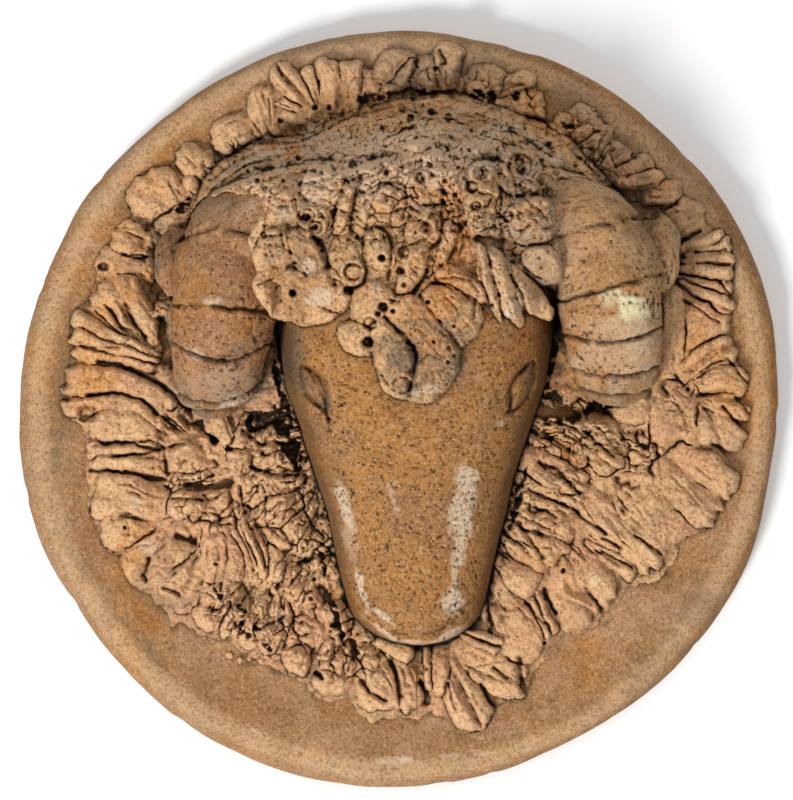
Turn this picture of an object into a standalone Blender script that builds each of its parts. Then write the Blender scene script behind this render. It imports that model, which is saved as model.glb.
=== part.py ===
"""A pottery wall plaque: a ram's head in high relief on a round slab, ringed by a fleece of clay tongues.

It is one fired piece, so it is one solid. It is modelled lying on its back, X to the right, Y up the wall and
Z towards the viewer, and stood up at the end, so that it faces -Y with its flat back on the wall plane Y = 0.

The relief is laid out on a drawing of the front, ruled in squares from its top left corner: u counts them to
the right, v downwards, and the plaque's width takes DRAWN_WIDTH of them. The drawing is in perspective, so
what stands further forward is drawn larger.
"""

import math
import random

import bmesh
import bpy
import numpy as np
from mathutils import Matrix, Vector

# The slab, in metres
PLAQUE_WIDTH = 0.280
SLAB_THICKNESS = 0.0125
RIM_RISE = 0.0030
RIM_ROUNDING = 0.0075
RIM_BAND = 0.030
BACK_CHAMFER = 0.0020

# The head, in metres. Its heights are above the front of the slab
HEAD_LENGTH = 0.192
HEAD_WIDTH = 0.097
HEAD_HEIGHT = 0.0495
HEAD_ACROSS = 0.0057
MUZZLE_BELOW_CENTRE = 0.0840
EYE_LENGTH = 0.0215
EYE_WIDTH = 0.0090
EYE_GROOVE = 0.0026
EYE_BULGE = 0.0014
MOUTH_GROOVE = 0.0020
CROWN_SPREAD = 0.1560
CROWN_DEPTH = 0.0330
CROWN_RISE = 0.0430
CROWN_BOW = 0.0165

# The horns, in metres
HORN_THICKNESS = 0.0355
HORN_SPACING = 0.1345
HORN_COIL = 0.0212
HORN_COIL_ABOVE_SLAB = 0.0060
HORN_ABOVE_CENTRE = 0.0365
RING_DEPTH = 0.0024

# The fleece, in metres
FLEECE_WIDTH = 0.247
FLEECE_ABOVE_CENTRE = 0.0113
FLEECE_ACROSS = 0.0036
FLEECE_BED = 0.0045
TONGUE_HEIGHT = 0.0092
PAD_HEIGHT = 0.0085
CURL_THICKNESS = 0.0145

# The nail socket in the back, in metres
SOCKET_WIDTH = 0.010
SOCKET_DEPTH = 0.009
SOCKET_BELOW_TOP = 0.045

# How fine the finished solid is
CLAY_GRAIN = 0.00125
MOST_TRIANGLES = 9700
SEED = 11

# The drawing: its viewpoint in squares, the plaque's width in squares, and how far off it is seen in metres
DRAWN_VIEWPOINT = (396.5, 400)
DRAWN_CENTRE = (400, 408.5)
DRAWN_WIDTH = 756
DRAWN_FROM = 0.6

# Each wave of the hand-cut outline: waves round the edge, height in metres, bearing of its crest in degrees
OUTLINE_WAVES = (
    (2, 0.0011, 30), (3, 0.0003, 40), (5, 0.0005, 36), (6, 0.0004, 23), (8, 0.0004, 15), (13, 0.0002, 60),
)

# The head from muzzle to crown: share of its length, share of its half width, share of its height
HEAD_SECTIONS = (
    (0.000, 0.02, 0.30), (0.008, 0.22, 0.44), (0.022, 0.36, 0.55), (0.044, 0.455, 0.61),
    (0.081, 0.52, 0.645), (0.139, 0.57, 0.67), (0.196, 0.615, 0.70), (0.254, 0.665, 0.73),
    (0.311, 0.715, 0.76), (0.368, 0.78, 0.80),
    (0.426, 0.86, 0.84), (0.492, 0.955, 0.885), (0.560, 1.00, 0.93), (0.640, 1.01, 0.98), (0.720, 1.02, 1.00),
    (0.800, 1.04, 0.97), (0.860, 1.04, 0.92), (0.910, 0.98, 0.85), (0.945, 0.85, 0.77), (0.972, 0.66, 0.67),
    (0.990, 0.40, 0.55), (1.000, 0.02, 0.35),
)
HEAD_SQUARENESS = 2.9
# The middle of the yoke of clay that runs over the crown from horn to horn, in squares
CROWN = (409, 157)
# Each eye: its middle in squares and the bearing of its long axis in degrees
EYES = ((318, 396, -62), (522, 389, 67))

# One horn's coil by turn in degrees, where 0 is the top, 90 the front and 180 the bottom: how far outwards it
# lies and how thick it is as shares of HORN_THICKNESS, and how wide the coil is as a share of HORN_COIL
HORN_COURSE = (
    (-40, -1.55, 1.00, 1.80), (-10, -0.95, 1.06, 1.36), (25, -0.32, 1.06, 1.08), (55, -0.05, 1.00, 1.00),
    (90, 0.00, 1.00, 1.00), (150, 0.10, 0.90, 0.99),
    (210, 0.28, 0.72, 0.92), (290, 0.48, 0.54, 0.96), (340, 0.60, 0.44, 1.10), (385, 0.76, 0.36, 1.02),
    (415, 0.78, 0.27, 0.86), (436, 0.74, 0.10, 0.70),
)
# The root runs into the crown no lower than the coil lies at this turn
HORN_ROOT_TURN = 38
RING_TURNS = ((57, 95, 121, 146, 160), (52, 84, 109, 129, 146))

# Tongues of the fleece, in squares: root u and v, tip u and v, width, number of pleats and sideways bow
OUTER_TONGUES = (
    (180, 212, 138, 180, 46, 1, 0), (214, 178, 178, 148, 28, 1, 0), (200, 214, 187, 172, 16, 1, 0),
    (152, 250, 112, 230, 32, 1, 0), (155, 270, 97, 262, 28, 1, 4), (160, 345, 110, 280, 40, 1, 0),
    (165, 352, 93, 300, 27, 1, 0), (168, 362, 75, 322, 16, 1, 0), (168, 366, 74, 337, 13, 1, 0),
    (172, 372, 74, 352, 15, 1, 0), (211, 436, 70, 376, 29, 1, 12), (185, 436, 70, 404, 18, 1, 14),
    (165, 440, 90, 424, 28, 2, 4), (162, 446, 87, 448, 19, 2, 0), (164, 463, 92, 464, 19, 1, 0),
    (168, 500, 90, 496, 42, 1, 0), (217, 460, 167, 460, 40, 1, 0), (208, 500, 165, 505, 28, 1, 0),
    (178, 525, 140, 584, 54, 2, -4), (202, 556, 163, 594, 24, 1, 0), (222, 505, 218, 610, 40, 1, 0),
    (229, 492, 254, 572, 15, 1, 3), (243, 495, 268, 578, 17, 1, 3), (272, 584, 246, 614, 24, 1, 0),
    (286, 580, 283, 634, 22, 2, 0), (262, 600, 240, 634, 24, 1, 0), (284, 622, 262, 650, 26, 1, 0),
    (304, 640, 293, 674, 24, 1, 0), (325, 562, 301, 620, 46, 1, 0), (320, 610, 302, 643, 32, 1, 0),
    (334, 630, 324, 660, 13, 1, 0), (358, 622, 332, 642, 18, 1, 0), (352, 645, 327, 692, 30, 1, 0),
    (364, 660, 370, 712, 20, 1, 0), (370, 650, 392, 712, 26, 1, 0), (396, 655, 411, 713, 27, 1, 0),
    (441, 646, 438, 694, 21, 1, 0), (446, 655, 480, 724, 34, 4, 0), (442, 645, 526, 684, 36, 1, 0),
    (500, 655, 524, 698, 11, 1, 0), (488, 592, 532, 656, 50, 1, 0), (525, 576, 553, 632, 17, 2, 0),
    (542, 560, 584, 622, 35, 1, 0), (560, 556, 602, 606, 40, 1, 0), (582, 545, 630, 577, 15, 1, 0),
    (575, 492, 654, 568, 28, 1, 0), (610, 472, 676, 548, 60, 3, 0), (652, 458, 714, 518, 28, 2, 0),
    (672, 448, 736, 492, 26, 1, 0), (656, 382, 672, 450, 60, 1, 0), (690, 380, 748, 382, 27, 1, 0),
    (695, 396, 748, 412, 16, 1, 4), (702, 404, 736, 448, 26, 1, 3), (697, 404, 706, 448, 18, 1, 0),
    (676, 372, 732, 345, 30, 2, 0), (690, 352, 716, 304, 40, 1, 0), (672, 370, 668, 290, 28, 1, 0),
    (684, 254, 734, 243, 15, 1, 0), (684, 262, 734, 259, 15, 1, 0), (682, 270, 730, 274, 15, 1, 0),
    (680, 276, 728, 290, 14, 1, 0), (682, 282, 732, 310, 15, 1, 0), (676, 250, 724, 236, 13, 1, 0),
    (662, 232, 704, 210, 36, 1, 0), (644, 198, 685, 190, 24, 1, 0), (620, 186, 662, 178, 19, 1, 0),
    (610, 180, 652, 161, 21, 1, 3), (606, 174, 629, 148, 25, 1, 0), (602, 162, 604, 127, 15, 1, 0),
    (594, 162, 587, 122, 20, 1, 0), (586, 150, 579, 107, 20, 1, 0), (572, 142, 556, 117, 24, 1, 0),
    (495, 102, 550, 108, 23, 1, 0), (498, 96, 534, 79, 18, 1, -3), (480, 106, 489, 65, 36, 1, 0),
    (448, 100, 455, 45, 25, 1, -3), (428, 102, 431, 56, 34, 1, 0), (374, 106, 408, 50, 30, 1, -6),
    (378, 96, 416, 62, 16, 1, 0), (370, 108, 369, 70, 17, 1, 0), (352, 110, 350, 60, 21, 1, 0),
    (328, 108, 325, 58, 23, 1, 0), (322, 112, 306, 66, 14, 1, 0), (316, 114, 278, 64, 22, 2, 0),
    (312, 116, 282, 98, 13, 1, 0), (308, 120, 283, 114, 14, 1, 0), (272, 137, 258, 84, 29, 1, 0),
    (256, 126, 213, 142, 31, 1, 0),
)
INNER_TONGUES = (
    (238, 483, 240, 446, 26, 2, 0), (230, 452, 216, 412, 12, 1, 0), (300, 466, 249, 455, 17, 2, 0),
    (286, 426, 250, 447, 15, 1, 0), (302, 430, 260, 453, 17, 1, 0), (306, 486, 253, 484, 17, 2, 0),
    (304, 500, 262, 518, 27, 3, 0), (256, 500, 282, 548, 15, 1, 0), (310, 515, 285, 532, 24, 1, 0),
    (320, 530, 290, 550, 24, 2, 0), (270, 540, 274, 580, 16, 1, 0), (246, 418, 232, 450, 16, 1, 0),
    (530, 428, 601, 440, 24, 2, 0), (522, 434, 592, 456, 18, 2, 0), (518, 456, 584, 490, 24, 2, 0),
    (512, 480, 582, 494, 18, 2, 0), (508, 488, 572, 514, 17, 2, 0), (506, 498, 570, 530, 34, 3, 0),
    (502, 515, 560, 558, 25, 2, 0), (498, 530, 546, 568, 28, 1, 0), (578, 484, 626, 546, 32, 2, 0),
    (575, 404, 616, 442, 28, 1, 0), (495, 560, 535, 590, 22, 2, 0), (600, 404, 648, 412, 18, 2, 0),
    (590, 440, 616, 470, 20, 2, 0), (345, 600, 322, 616, 16, 1, 0), (380, 640, 412, 656, 18, 1, 0),
    (455, 630, 500, 644, 16, 2, 0), (428, 648, 428, 690, 9, 1, 0),
)

# Pads pressed over the brow: middle u and v, length and width in squares, bearing in degrees, height as a share
# of PAD_HEIGHT
FORELOCK = (
    (415, 215, 270, 240, 90, 0.45), (420, 150, 330, 90, 0, 0.45),
    (272, 261, 48, 44, 80, 1.15), (290, 298, 62, 44, -35, 1.30), (312, 246, 78, 34, 116, 1.20),
    (322, 306, 34, 30, 0, 0.90), (350, 262, 50, 32, 100, 1.10), (375, 246, 40, 26, 95, 1.10),
    (386, 208, 56, 48, 80, 0.90), (418, 214, 36, 30, 70, 0.85), (402, 274, 58, 26, 96, 0.95),
    (378, 298, 40, 32, 10, 1.00), (368, 338, 34, 34, 0, 0.90), (448, 300, 66, 62, -45, 1.20),
    (462, 252, 60, 24, 50, 0.95), (484, 278, 62, 22, -70, 1.05), (506, 290, 64, 22, -62, 1.15),
    (528, 292, 62, 30, -58, 1.20), (538, 266, 44, 40, 60, 1.15), (532, 222, 50, 42, 80, 0.95),
    (524, 176, 46, 40, 100, 0.90), (482, 182, 44, 38, 70, 0.85), (446, 172, 48, 36, 120, 0.80),
    (350, 205, 46, 24, 62, 0.85), (368, 160, 60, 34, 25, 0.75), (480, 220, 44, 30, 100, 0.85),
    (318, 200, 56, 36, 40, 0.75), (424, 128, 70, 30, 4, 0.60), (500, 134, 70, 30, -24, 0.60),
    (300, 162, 70, 32, 28, 0.60), (412, 350, 70, 44, 96, 0.80),
)
# Two rolled curls that hang over the brow, as points in squares
CURLS = (
    ((382, 322), (386, 342), (392, 362), (398, 378)),
    ((404, 312), (424, 326), (438, 346), (440, 366), (428, 380)),
)

DRAWN_FOCUS = DRAWN_WIDTH / PLAQUE_WIDTH * (DRAWN_FROM - RIM_ROUNDING)


def clear_scene():
    for old in list(bpy.data.objects):
        bpy.data.objects.remove(old)


def collection_of(name):
    made = bpy.data.collections.new(name)
    bpy.context.scene.collection.children.link(made)
    return made


def in_metres(squares):
    """A length on the drawing at the height of the fleece."""
    return squares * (DRAWN_FROM - SLAB_THICKNESS) / DRAWN_FOCUS


def drawn_place(u, v, height):
    """Where a point of the drawing lies across and up from the plaque's centre at this height over the back."""
    pitch = (DRAWN_FROM - height) / DRAWN_FOCUS
    centre_pitch = DRAWN_FROM / DRAWN_FOCUS
    x = (u - DRAWN_VIEWPOINT[0]) * pitch - (DRAWN_CENTRE[0] - DRAWN_VIEWPOINT[0]) * centre_pitch
    y = (DRAWN_VIEWPOINT[1] - v) * pitch + (DRAWN_CENTRE[1] - DRAWN_VIEWPOINT[1]) * centre_pitch
    return Vector((x, y, height))


def smooth_step(low, high, value):
    share = np.clip((value - low) / (high - low), 0, 1)
    return share * share * (3 - 2 * share)


def round_end(distance, rounding):
    """The share of its full size that a rounded end has this far from its tip."""
    share = np.clip(distance / rounding, 0, 1)
    return np.sqrt(np.clip(1 - (1 - share) ** 2, 0, 1))


def signed_power(value, power):
    return np.sign(value) * np.abs(value) ** power


def outline_swell(bearing):
    """How far the hand-cut edge stands out from a true circle at this bearing in radians."""
    return sum(
        height * math.cos(waves * (bearing - math.radians(crest)))
        for waves, height, crest in OUTLINE_WAVES
    )


def lump(collection, name, across, along, shape):
    """A lump of clay: a sphere whose points a function moves. shape takes, for every point, its share of the
    way from one pole to the other and its direction round that line, and gives the point's x, y and z."""
    mesh = bpy.data.meshes.new(name)
    ball = bmesh.new()
    bmesh.ops.create_uvsphere(ball, u_segments=across, v_segments=along, radius=1)
    ball.to_mesh(mesh)
    ball.free()
    points = np.empty(len(mesh.vertices) * 3)
    mesh.vertices.foreach_get("co", points)
    points = points.reshape(-1, 3)
    share = np.arccos(np.clip(-points[:, 2], -1, 1)) / math.pi
    turn = np.arctan2(points[:, 1], points[:, 0])
    placed = np.stack(shape(share, turn), axis=1)
    mesh.vertices.foreach_set("co", placed.astype(np.float32).ravel())
    made = bpy.data.objects.new(name, mesh)
    collection.objects.link(made)
    return made


def slab_profile():
    """Half of the slab's section from the front's middle, over the rim, to the back's middle."""
    edge = PLAQUE_WIDTH / 2
    dish_edge = edge - RIM_BAND
    rim_steps, round_steps = 4, 6
    points = [(0, SLAB_THICKNESS), (dish_edge, SLAB_THICKNESS)]
    for step in range(1, rim_steps + 1):
        share = step / rim_steps
        rise = RIM_RISE * (1 - math.cos(math.pi * share)) / 2
        points.append((dish_edge + (RIM_BAND - RIM_ROUNDING) * share, SLAB_THICKNESS + rise))
    for step in range(1, round_steps + 1):
        turn = math.pi / 2 * step / round_steps
        points.append((
            edge - RIM_ROUNDING * (1 - math.sin(turn)),
            SLAB_THICKNESS + RIM_RISE - RIM_ROUNDING * (1 - math.cos(turn)),
        ))
    points.append((edge, BACK_CHAMFER))
    points.append((edge - BACK_CHAMFER * 2, -BACK_CHAMFER))
    points.append((0, -BACK_CHAMFER))
    return points


def make_slab(collection):
    """The turned slab, whose back is cut off flat at the end."""
    mesh = bpy.data.meshes.new("slab")
    points = slab_profile()
    mesh.from_pydata([(x, 0, z) for x, z in points], [(n, n + 1) for n in range(len(points) - 1)], [])
    slab = bpy.data.objects.new("slab", mesh)
    collection.objects.link(slab)
    turned = slab.modifiers.new("turned", "SCREW")
    turned.steps = turned.render_steps = 144
    turned.use_merge_vertices = True
    turned.merge_threshold = 0.0001
    return slab


def bow_edge(mesh):
    """Moves the turned slab's outer points in and out, as a hand cuts them."""
    for vertex in mesh.vertices:
        reach = math.hypot(vertex.co.x, vertex.co.y)
        share = smooth_step(PLAQUE_WIDTH / 4, PLAQUE_WIDTH / 2, reach)
        if share > 0:
            grown = 1 + share * outline_swell(math.atan2(vertex.co.y, vertex.co.x)) / reach
            vertex.co.x *= grown
            vertex.co.y *= grown


def head_section(share):
    """Half width of the head and its height over the slab, this share of the way from muzzle to crown."""
    stations, widths, heights = np.array(HEAD_SECTIONS).T
    half_width = np.interp(share, stations, widths) * HEAD_WIDTH / 2
    return half_width, np.interp(share, stations, heights) * HEAD_HEIGHT


def head_height(x, y):
    """Height of the head's surface over the slab at a place across and up from the plaque's centre."""
    half_width, height = head_section(np.clip((y + MUZZLE_BELOW_CENTRE) / HEAD_LENGTH, 0, 1))
    out = np.clip(np.abs(x - HEAD_ACROSS) / half_width, 0, 1)
    return height * (1 - out**HEAD_SQUARENESS) ** (1 / HEAD_SQUARENESS)


def eye_relief(x, y):
    """How far the surface sinks at each leaf-shaped eye: an incised line round a low bulge."""
    cut = np.zeros_like(x)
    for u, v, bearing in EYES:
        place = drawn_place(u, v, SLAB_THICKNESS + HEAD_HEIGHT * 0.7)
        turn = math.radians(bearing)
        along = (x - place.x) * math.cos(turn) + (y - place.y) * math.sin(turn)
        across = (y - place.y) * math.cos(turn) - (x - place.x) * math.sin(turn)
        lens = np.abs(across) / (EYE_WIDTH / 2) + (along / (EYE_LENGTH / 2)) ** 2
        cut = cut + EYE_GROOVE * np.exp(-(((lens - 1) / 0.34) ** 2))
        cut = cut - EYE_BULGE * np.exp(-((lens / 0.6) ** 2))
    return cut


def mouth_relief(share, out):
    """The line of the mouth, a little way in from the end of the muzzle."""
    from_end = share * HEAD_LENGTH - HEAD_WIDTH * 0.2 * out**2
    from_line = (from_end - HEAD_WIDTH * 0.045) / (HEAD_WIDTH * 0.014)
    return MOUTH_GROOVE * np.exp(-(from_line**2)) * (np.abs(out) < 0.75)


def head_shape(share, turn):
    along = (1 - np.cos(math.pi * share)) / 2
    half_width, height = head_section(along)
    out = signed_power(np.cos(turn), 2 / HEAD_SQUARENESS)
    up = signed_power(np.sin(turn), 2 / HEAD_SQUARENESS)
    x = HEAD_ACROSS + half_width * out
    y = HEAD_LENGTH * along - MUZZLE_BELOW_CENTRE
    cut = (eye_relief(x, y) + mouth_relief(along, out)) * smooth_step(0.4, 0.8, up)
    z = SLAB_THICKNESS + np.where(up > 0, height * up - cut, SLAB_THICKNESS * 0.5 * up)
    return x, y, z


def crown_shape(share, turn):
    """The yoke over the crown, bowed down at its ends, where it buries the horns' roots."""
    middle = drawn_place(*CROWN, SLAB_THICKNESS + HEAD_HEIGHT / 2)
    along = -np.cos(math.pi * share)
    taper = (1 - np.abs(along) ** 3) ** 0.5
    rise = CROWN_RISE * (1 - np.abs(along) ** 2.4) ** 0.7
    out = signed_power(np.cos(turn), 0.9) * taper
    up = signed_power(np.sin(turn), 0.85)
    x = middle.x + CROWN_SPREAD / 2 * along
    y = middle.y - CROWN_BOW * along**2 + CROWN_DEPTH / 2 * out
    return x, y, SLAB_THICKNESS + np.where(up > 0, rise * up, SLAB_THICKNESS * 0.5 * up)


def tongue_shape(tongue, floor, height):
    """A tongue of clay pressed down at its root, with pleats that fan towards its blunt tip."""
    root_u, root_v, tip_u, tip_v, width, pleats, bow = tongue
    root = drawn_place(root_u, root_v, floor)
    tip = drawn_place(tip_u, tip_v, floor)
    forwards = tip - root
    length = forwards.length
    forwards.normalize()
    sideways = Vector((-forwards.y, forwards.x, 0))
    half_width = in_metres(width) / 2
    bend = in_metres(bow)

    def shape(share, turn):
        along = (1 - np.cos(math.pi * share)) / 2
        out = signed_power(np.cos(turn), 0.8)
        up = signed_power(np.sin(turn), 0.95)
        groove = np.zeros_like(along)
        for pleat in range(1, pleats):
            between = 2 * pleat / pleats - 1
            groove += np.exp(-(((out - between) * pleats / 0.3) ** 2)) * smooth_step(0.05, 0.3, along)
        spread = 0.72 + 0.33 * smooth_step(0, 0.6, along)
        ends = round_end(along, 0.12) * round_end(1 - along, min(0.45, 0.8 * half_width / length))
        rise = height * (0.6 + 0.4 * smooth_step(0, 0.5, along)) * (1 - 0.6 * groove)
        rise = rise * round_end(1 - along, 0.16)
        reach = length * along * (1 - 0.05 * groove)
        side = out * half_width * spread * ends + bend * np.sin(math.pi * along)
        x = root.x + forwards.x * reach + sideways.x * side
        y = root.y + forwards.y * reach + sideways.y * side
        z = floor + np.where(up > 0, rise * up, height * 0.6 * up)
        return x, y, z

    return shape


def fleece_bed_shape(share, turn):
    """A thin cake of clay under the tongues."""
    reach = (FLEECE_WIDTH / 2 - TONGUE_HEIGHT) * np.sin(math.pi * share) ** 0.5
    x = FLEECE_ACROSS + reach * np.cos(turn)
    y = FLEECE_ABOVE_CENTRE + reach * np.sin(turn)
    return x, y, SLAB_THICKNESS - FLEECE_BED * np.cos(math.pi * share)


def make_fleece(collection):
    """The fleece's bed and its tongues, of which the inner ones stand a little higher."""
    chance = random.Random(SEED)
    lump(collection, "fleece_bed", 64, 16, fleece_bed_shape)
    rows = (("outer", OUTER_TONGUES, 0.2), ("inner", INNER_TONGUES, 0.6))
    for row, tongues, lift in rows:
        for number, tongue in enumerate(tongues):
            floor = SLAB_THICKNESS + FLEECE_BED * lift
            height = TONGUE_HEIGHT * chance.uniform(0.82, 1.18)
            lump(collection, f"{row}_tongue_{number:02d}", 24, 16, tongue_shape(tongue, floor, height))


def make_horn(collection, name, side, ring_turns):
    """A horn that coils out from the crown, down the front, back into the fleece and round to a small tip."""
    curve = bpy.data.curves.new(name, "CURVE")
    curve.dimensions = "3D"
    curve.bevel_depth = 1
    curve.bevel_resolution = 6
    curve.use_fill_caps = True
    stations, outs, thicks, coils = np.array(HORN_COURSE).T
    turns = np.arange(stations[0], stations[-1], 1.5)
    spline = curve.splines.new("POLY")
    spline.points.add(len(turns) - 1)
    ring_width = 3.0
    for point, turn in zip(spline.points, turns):
        angle = math.radians(turn)
        coil = np.interp(turn, stations, coils) * HORN_COIL
        out = HORN_SPACING / 2 + np.interp(turn, stations, outs) * HORN_THICKNESS
        rise = coil * math.sin(max(angle, math.radians(HORN_ROOT_TURN)))
        height = SLAB_THICKNESS + HORN_COIL_ABOVE_SLAB + rise
        point.co = (HEAD_ACROSS + side * out, HORN_ABOVE_CENTRE + coil * math.cos(angle), height, 1)
        ring = sum(math.exp(-(((turn - at) / ring_width) ** 2)) for at in ring_turns)
        point.radius = np.interp(turn, stations, thicks) * HORN_THICKNESS / 2 - RING_DEPTH * ring
    horn = bpy.data.objects.new(name, curve)
    collection.objects.link(horn)
    return horn


def make_curl(collection, name, points):
    """A roll of clay laid over the brow along a smooth line."""
    curve = bpy.data.curves.new(name, "CURVE")
    curve.dimensions = "3D"
    curve.bevel_depth = CURL_THICKNESS / 2
    curve.bevel_resolution = 4
    curve.resolution_u = 6
    curve.use_fill_caps = True
    spline = curve.splines.new("BEZIER")
    spline.bezier_points.add(len(points) - 1)
    for point, (u, v) in zip(spline.bezier_points, points):
        place = drawn_place(u, v, SLAB_THICKNESS + HEAD_HEIGHT)
        place.z = SLAB_THICKNESS + float(head_height(place.x, place.y)) + CURL_THICKNESS * 0.1
        point.co = place
        point.handle_left_type = point.handle_right_type = "AUTO"
    curl = bpy.data.objects.new(name, curve)
    collection.objects.link(curl)
    return curl


def pad_shape(pad):
    """A flat pad of clay pressed onto the head, which follows the head's surface."""
    u, v, length, width, bearing, rise = pad
    middle = drawn_place(u, v, SLAB_THICKNESS + HEAD_HEIGHT)
    turned = math.radians(bearing)
    along_x, along_y = math.cos(turned), math.sin(turned)
    half_length, half_width = in_metres(length) / 2, in_metres(width) / 2

    def shape(share, turn):
        round_off = np.sin(math.pi * share) ** 0.8
        along = -np.cos(math.pi * share) * half_length
        out = signed_power(np.cos(turn), 0.8) * round_off * half_width
        up = signed_power(np.sin(turn), 0.8) * round_off
        x = middle.x + along_x * along - along_y * out
        y = middle.y + along_y * along + along_x * out
        return x, y, SLAB_THICKNESS + head_height(x, y) + up * rise * PAD_HEIGHT * 0.8

    return shape


def make_forelock(collection):
    for number, pad in enumerate(FORELOCK):
        lump(collection, f"forelock_pad_{number:02d}", 28, 16, pad_shape(pad))
    for number, points in enumerate(CURLS):
        make_curl(collection, f"forelock_curl_{number}", points)


def pressed_together(objects, name):
    """One mesh object that holds every given object's evaluated mesh."""
    graph = bpy.context.evaluated_depsgraph_get()
    joined = bmesh.new()
    for obj in objects:
        mesh = bpy.data.meshes.new_from_object(obj.evaluated_get(graph))
        if obj.name == "slab":
            bow_edge(mesh)
        joined.from_mesh(mesh)
        bpy.data.meshes.remove(mesh)
    bmesh.ops.remove_doubles(joined, verts=joined.verts, dist=1e-6)
    bmesh.ops.recalc_face_normals(joined, faces=joined.faces)
    mesh = bpy.data.meshes.new(name)
    joined.to_mesh(mesh)
    joined.free()
    return bpy.data.objects.new(name, mesh)


def apply_modifiers(obj):
    """Makes what the object's modifiers give its own mesh."""
    bpy.context.view_layer.update()
    graph = bpy.context.evaluated_depsgraph_get()
    mesh = bpy.data.meshes.new_from_object(obj.evaluated_get(graph))
    obj.modifiers.clear()
    obj.data = mesh


def fuse(plaque):
    """Makes the pressed lumps one body, and then takes away triangles where the clay is smooth."""
    fused = plaque.modifiers.new("fused", "REMESH")
    fused.mode = "VOXEL"
    fused.voxel_size = CLAY_GRAIN
    apply_modifiers(plaque)
    plaque.data.calc_loop_triangles()
    fewer = plaque.modifiers.new("fewer", "DECIMATE")
    fewer.ratio = min(1, MOST_TRIANGLES / len(plaque.data.loop_triangles))
    apply_modifiers(plaque)


def fired_clay():
    made = bpy.data.materials.new("fired_clay")
    made.use_nodes = True
    shader = made.node_tree.nodes["Principled BSDF"]
    shader.inputs["Base Color"].default_value = (0.42, 0.21, 0.085, 1)
    shader.inputs["Roughness"].default_value = 0.75
    shader.inputs["Metallic"].default_value = 0
    return made


def make_cutter(collection, name, bm):
    mesh = bpy.data.meshes.new(name)
    bm.to_mesh(mesh)
    bm.free()
    cutter = bpy.data.objects.new(name, mesh)
    cutter.hide_render = True
    cutter.display_type = "WIRE"
    collection.objects.link(cutter)
    return cutter


def make_wall_cutter(collection):
    """The wall plane, which cuts the back flat."""
    side = PLAQUE_WIDTH * 1.2
    depth = SLAB_THICKNESS * 2
    block = bmesh.new()
    bmesh.ops.create_cube(block, size=1)
    bmesh.ops.scale(block, vec=(side, side, depth), verts=block.verts)
    bmesh.ops.translate(block, vec=(0, 0, -depth / 2), verts=block.verts)
    return make_cutter(collection, "wall_cutter", block)


def make_socket_cutter(collection):
    """The blind socket for the head of a wall nail."""
    radius = SOCKET_WIDTH / 2
    depth = SOCKET_DEPTH * 2
    drill = bmesh.new()
    bmesh.ops.create_cone(drill, cap_ends=True, segments=32, radius1=radius, radius2=radius, depth=depth)
    bmesh.ops.translate(drill, vec=(0, PLAQUE_WIDTH / 2 - SOCKET_BELOW_TOP, 0), verts=drill.verts)
    return make_cutter(collection, "socket_cutter", drill)


def main():
    clear_scene()
    finished = collection_of("ram_head_plaque")
    cutters = collection_of("cutters")
    loose = collection_of("loose_clay")
    make_slab(loose)
    make_fleece(loose)
    lump(loose, "head", 160, 160, head_shape)
    lump(loose, "crown", 64, 96, crown_shape)
    make_horn(loose, "left_horn", -1, RING_TURNS[0])
    make_horn(loose, "right_horn", 1, RING_TURNS[1])
    make_forelock(loose)

    bpy.context.view_layer.update()
    plaque = pressed_together(list(loose.objects), "ram_head_plaque")
    finished.objects.link(plaque)
    for lump_object in list(loose.objects):
        bpy.data.objects.remove(lump_object)
    bpy.data.collections.remove(loose)
    fuse(plaque)

    for cutter in (make_wall_cutter(cutters), make_socket_cutter(cutters)):
        cut = plaque.modifiers.new(cutter.name, "BOOLEAN")
        cut.operation = "DIFFERENCE"
        cut.object = cutter
    plaque.data.materials.append(fired_clay())
    upright = Matrix.Rotation(math.pi / 2, 4, "X")
    for obj in (plaque, *cutters.objects):
        obj.matrix_world = upright


main()
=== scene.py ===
"""Looks for the pottery wall plaque: a ram's head in high relief on a round slab, ringed by clay tongues.

The relief is worked out as height maps over a drawing of the front, ruled in squares from its top left
corner: u counts them to the right, v downwards, and the plaque's width takes DRAWN_WIDTH of them. It is
drawn in perspective, from DRAWN_FROM in front of the wall. Heights stand out of the wall, towards -Y.
"""

import math
import random

import bpy
import numpy as np
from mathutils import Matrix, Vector


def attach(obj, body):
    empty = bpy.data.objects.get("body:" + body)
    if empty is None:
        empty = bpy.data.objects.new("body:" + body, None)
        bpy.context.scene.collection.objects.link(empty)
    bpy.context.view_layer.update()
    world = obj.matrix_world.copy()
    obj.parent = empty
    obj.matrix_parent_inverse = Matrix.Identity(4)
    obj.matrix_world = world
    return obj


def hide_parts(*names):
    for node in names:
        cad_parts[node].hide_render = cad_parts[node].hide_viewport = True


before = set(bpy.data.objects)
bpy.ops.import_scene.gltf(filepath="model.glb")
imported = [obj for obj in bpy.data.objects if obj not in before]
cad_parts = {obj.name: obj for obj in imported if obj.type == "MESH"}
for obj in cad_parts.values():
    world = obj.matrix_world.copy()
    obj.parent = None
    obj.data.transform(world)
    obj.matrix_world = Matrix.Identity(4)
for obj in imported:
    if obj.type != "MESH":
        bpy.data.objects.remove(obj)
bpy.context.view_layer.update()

MM = 0.001
SEED = 11

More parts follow.
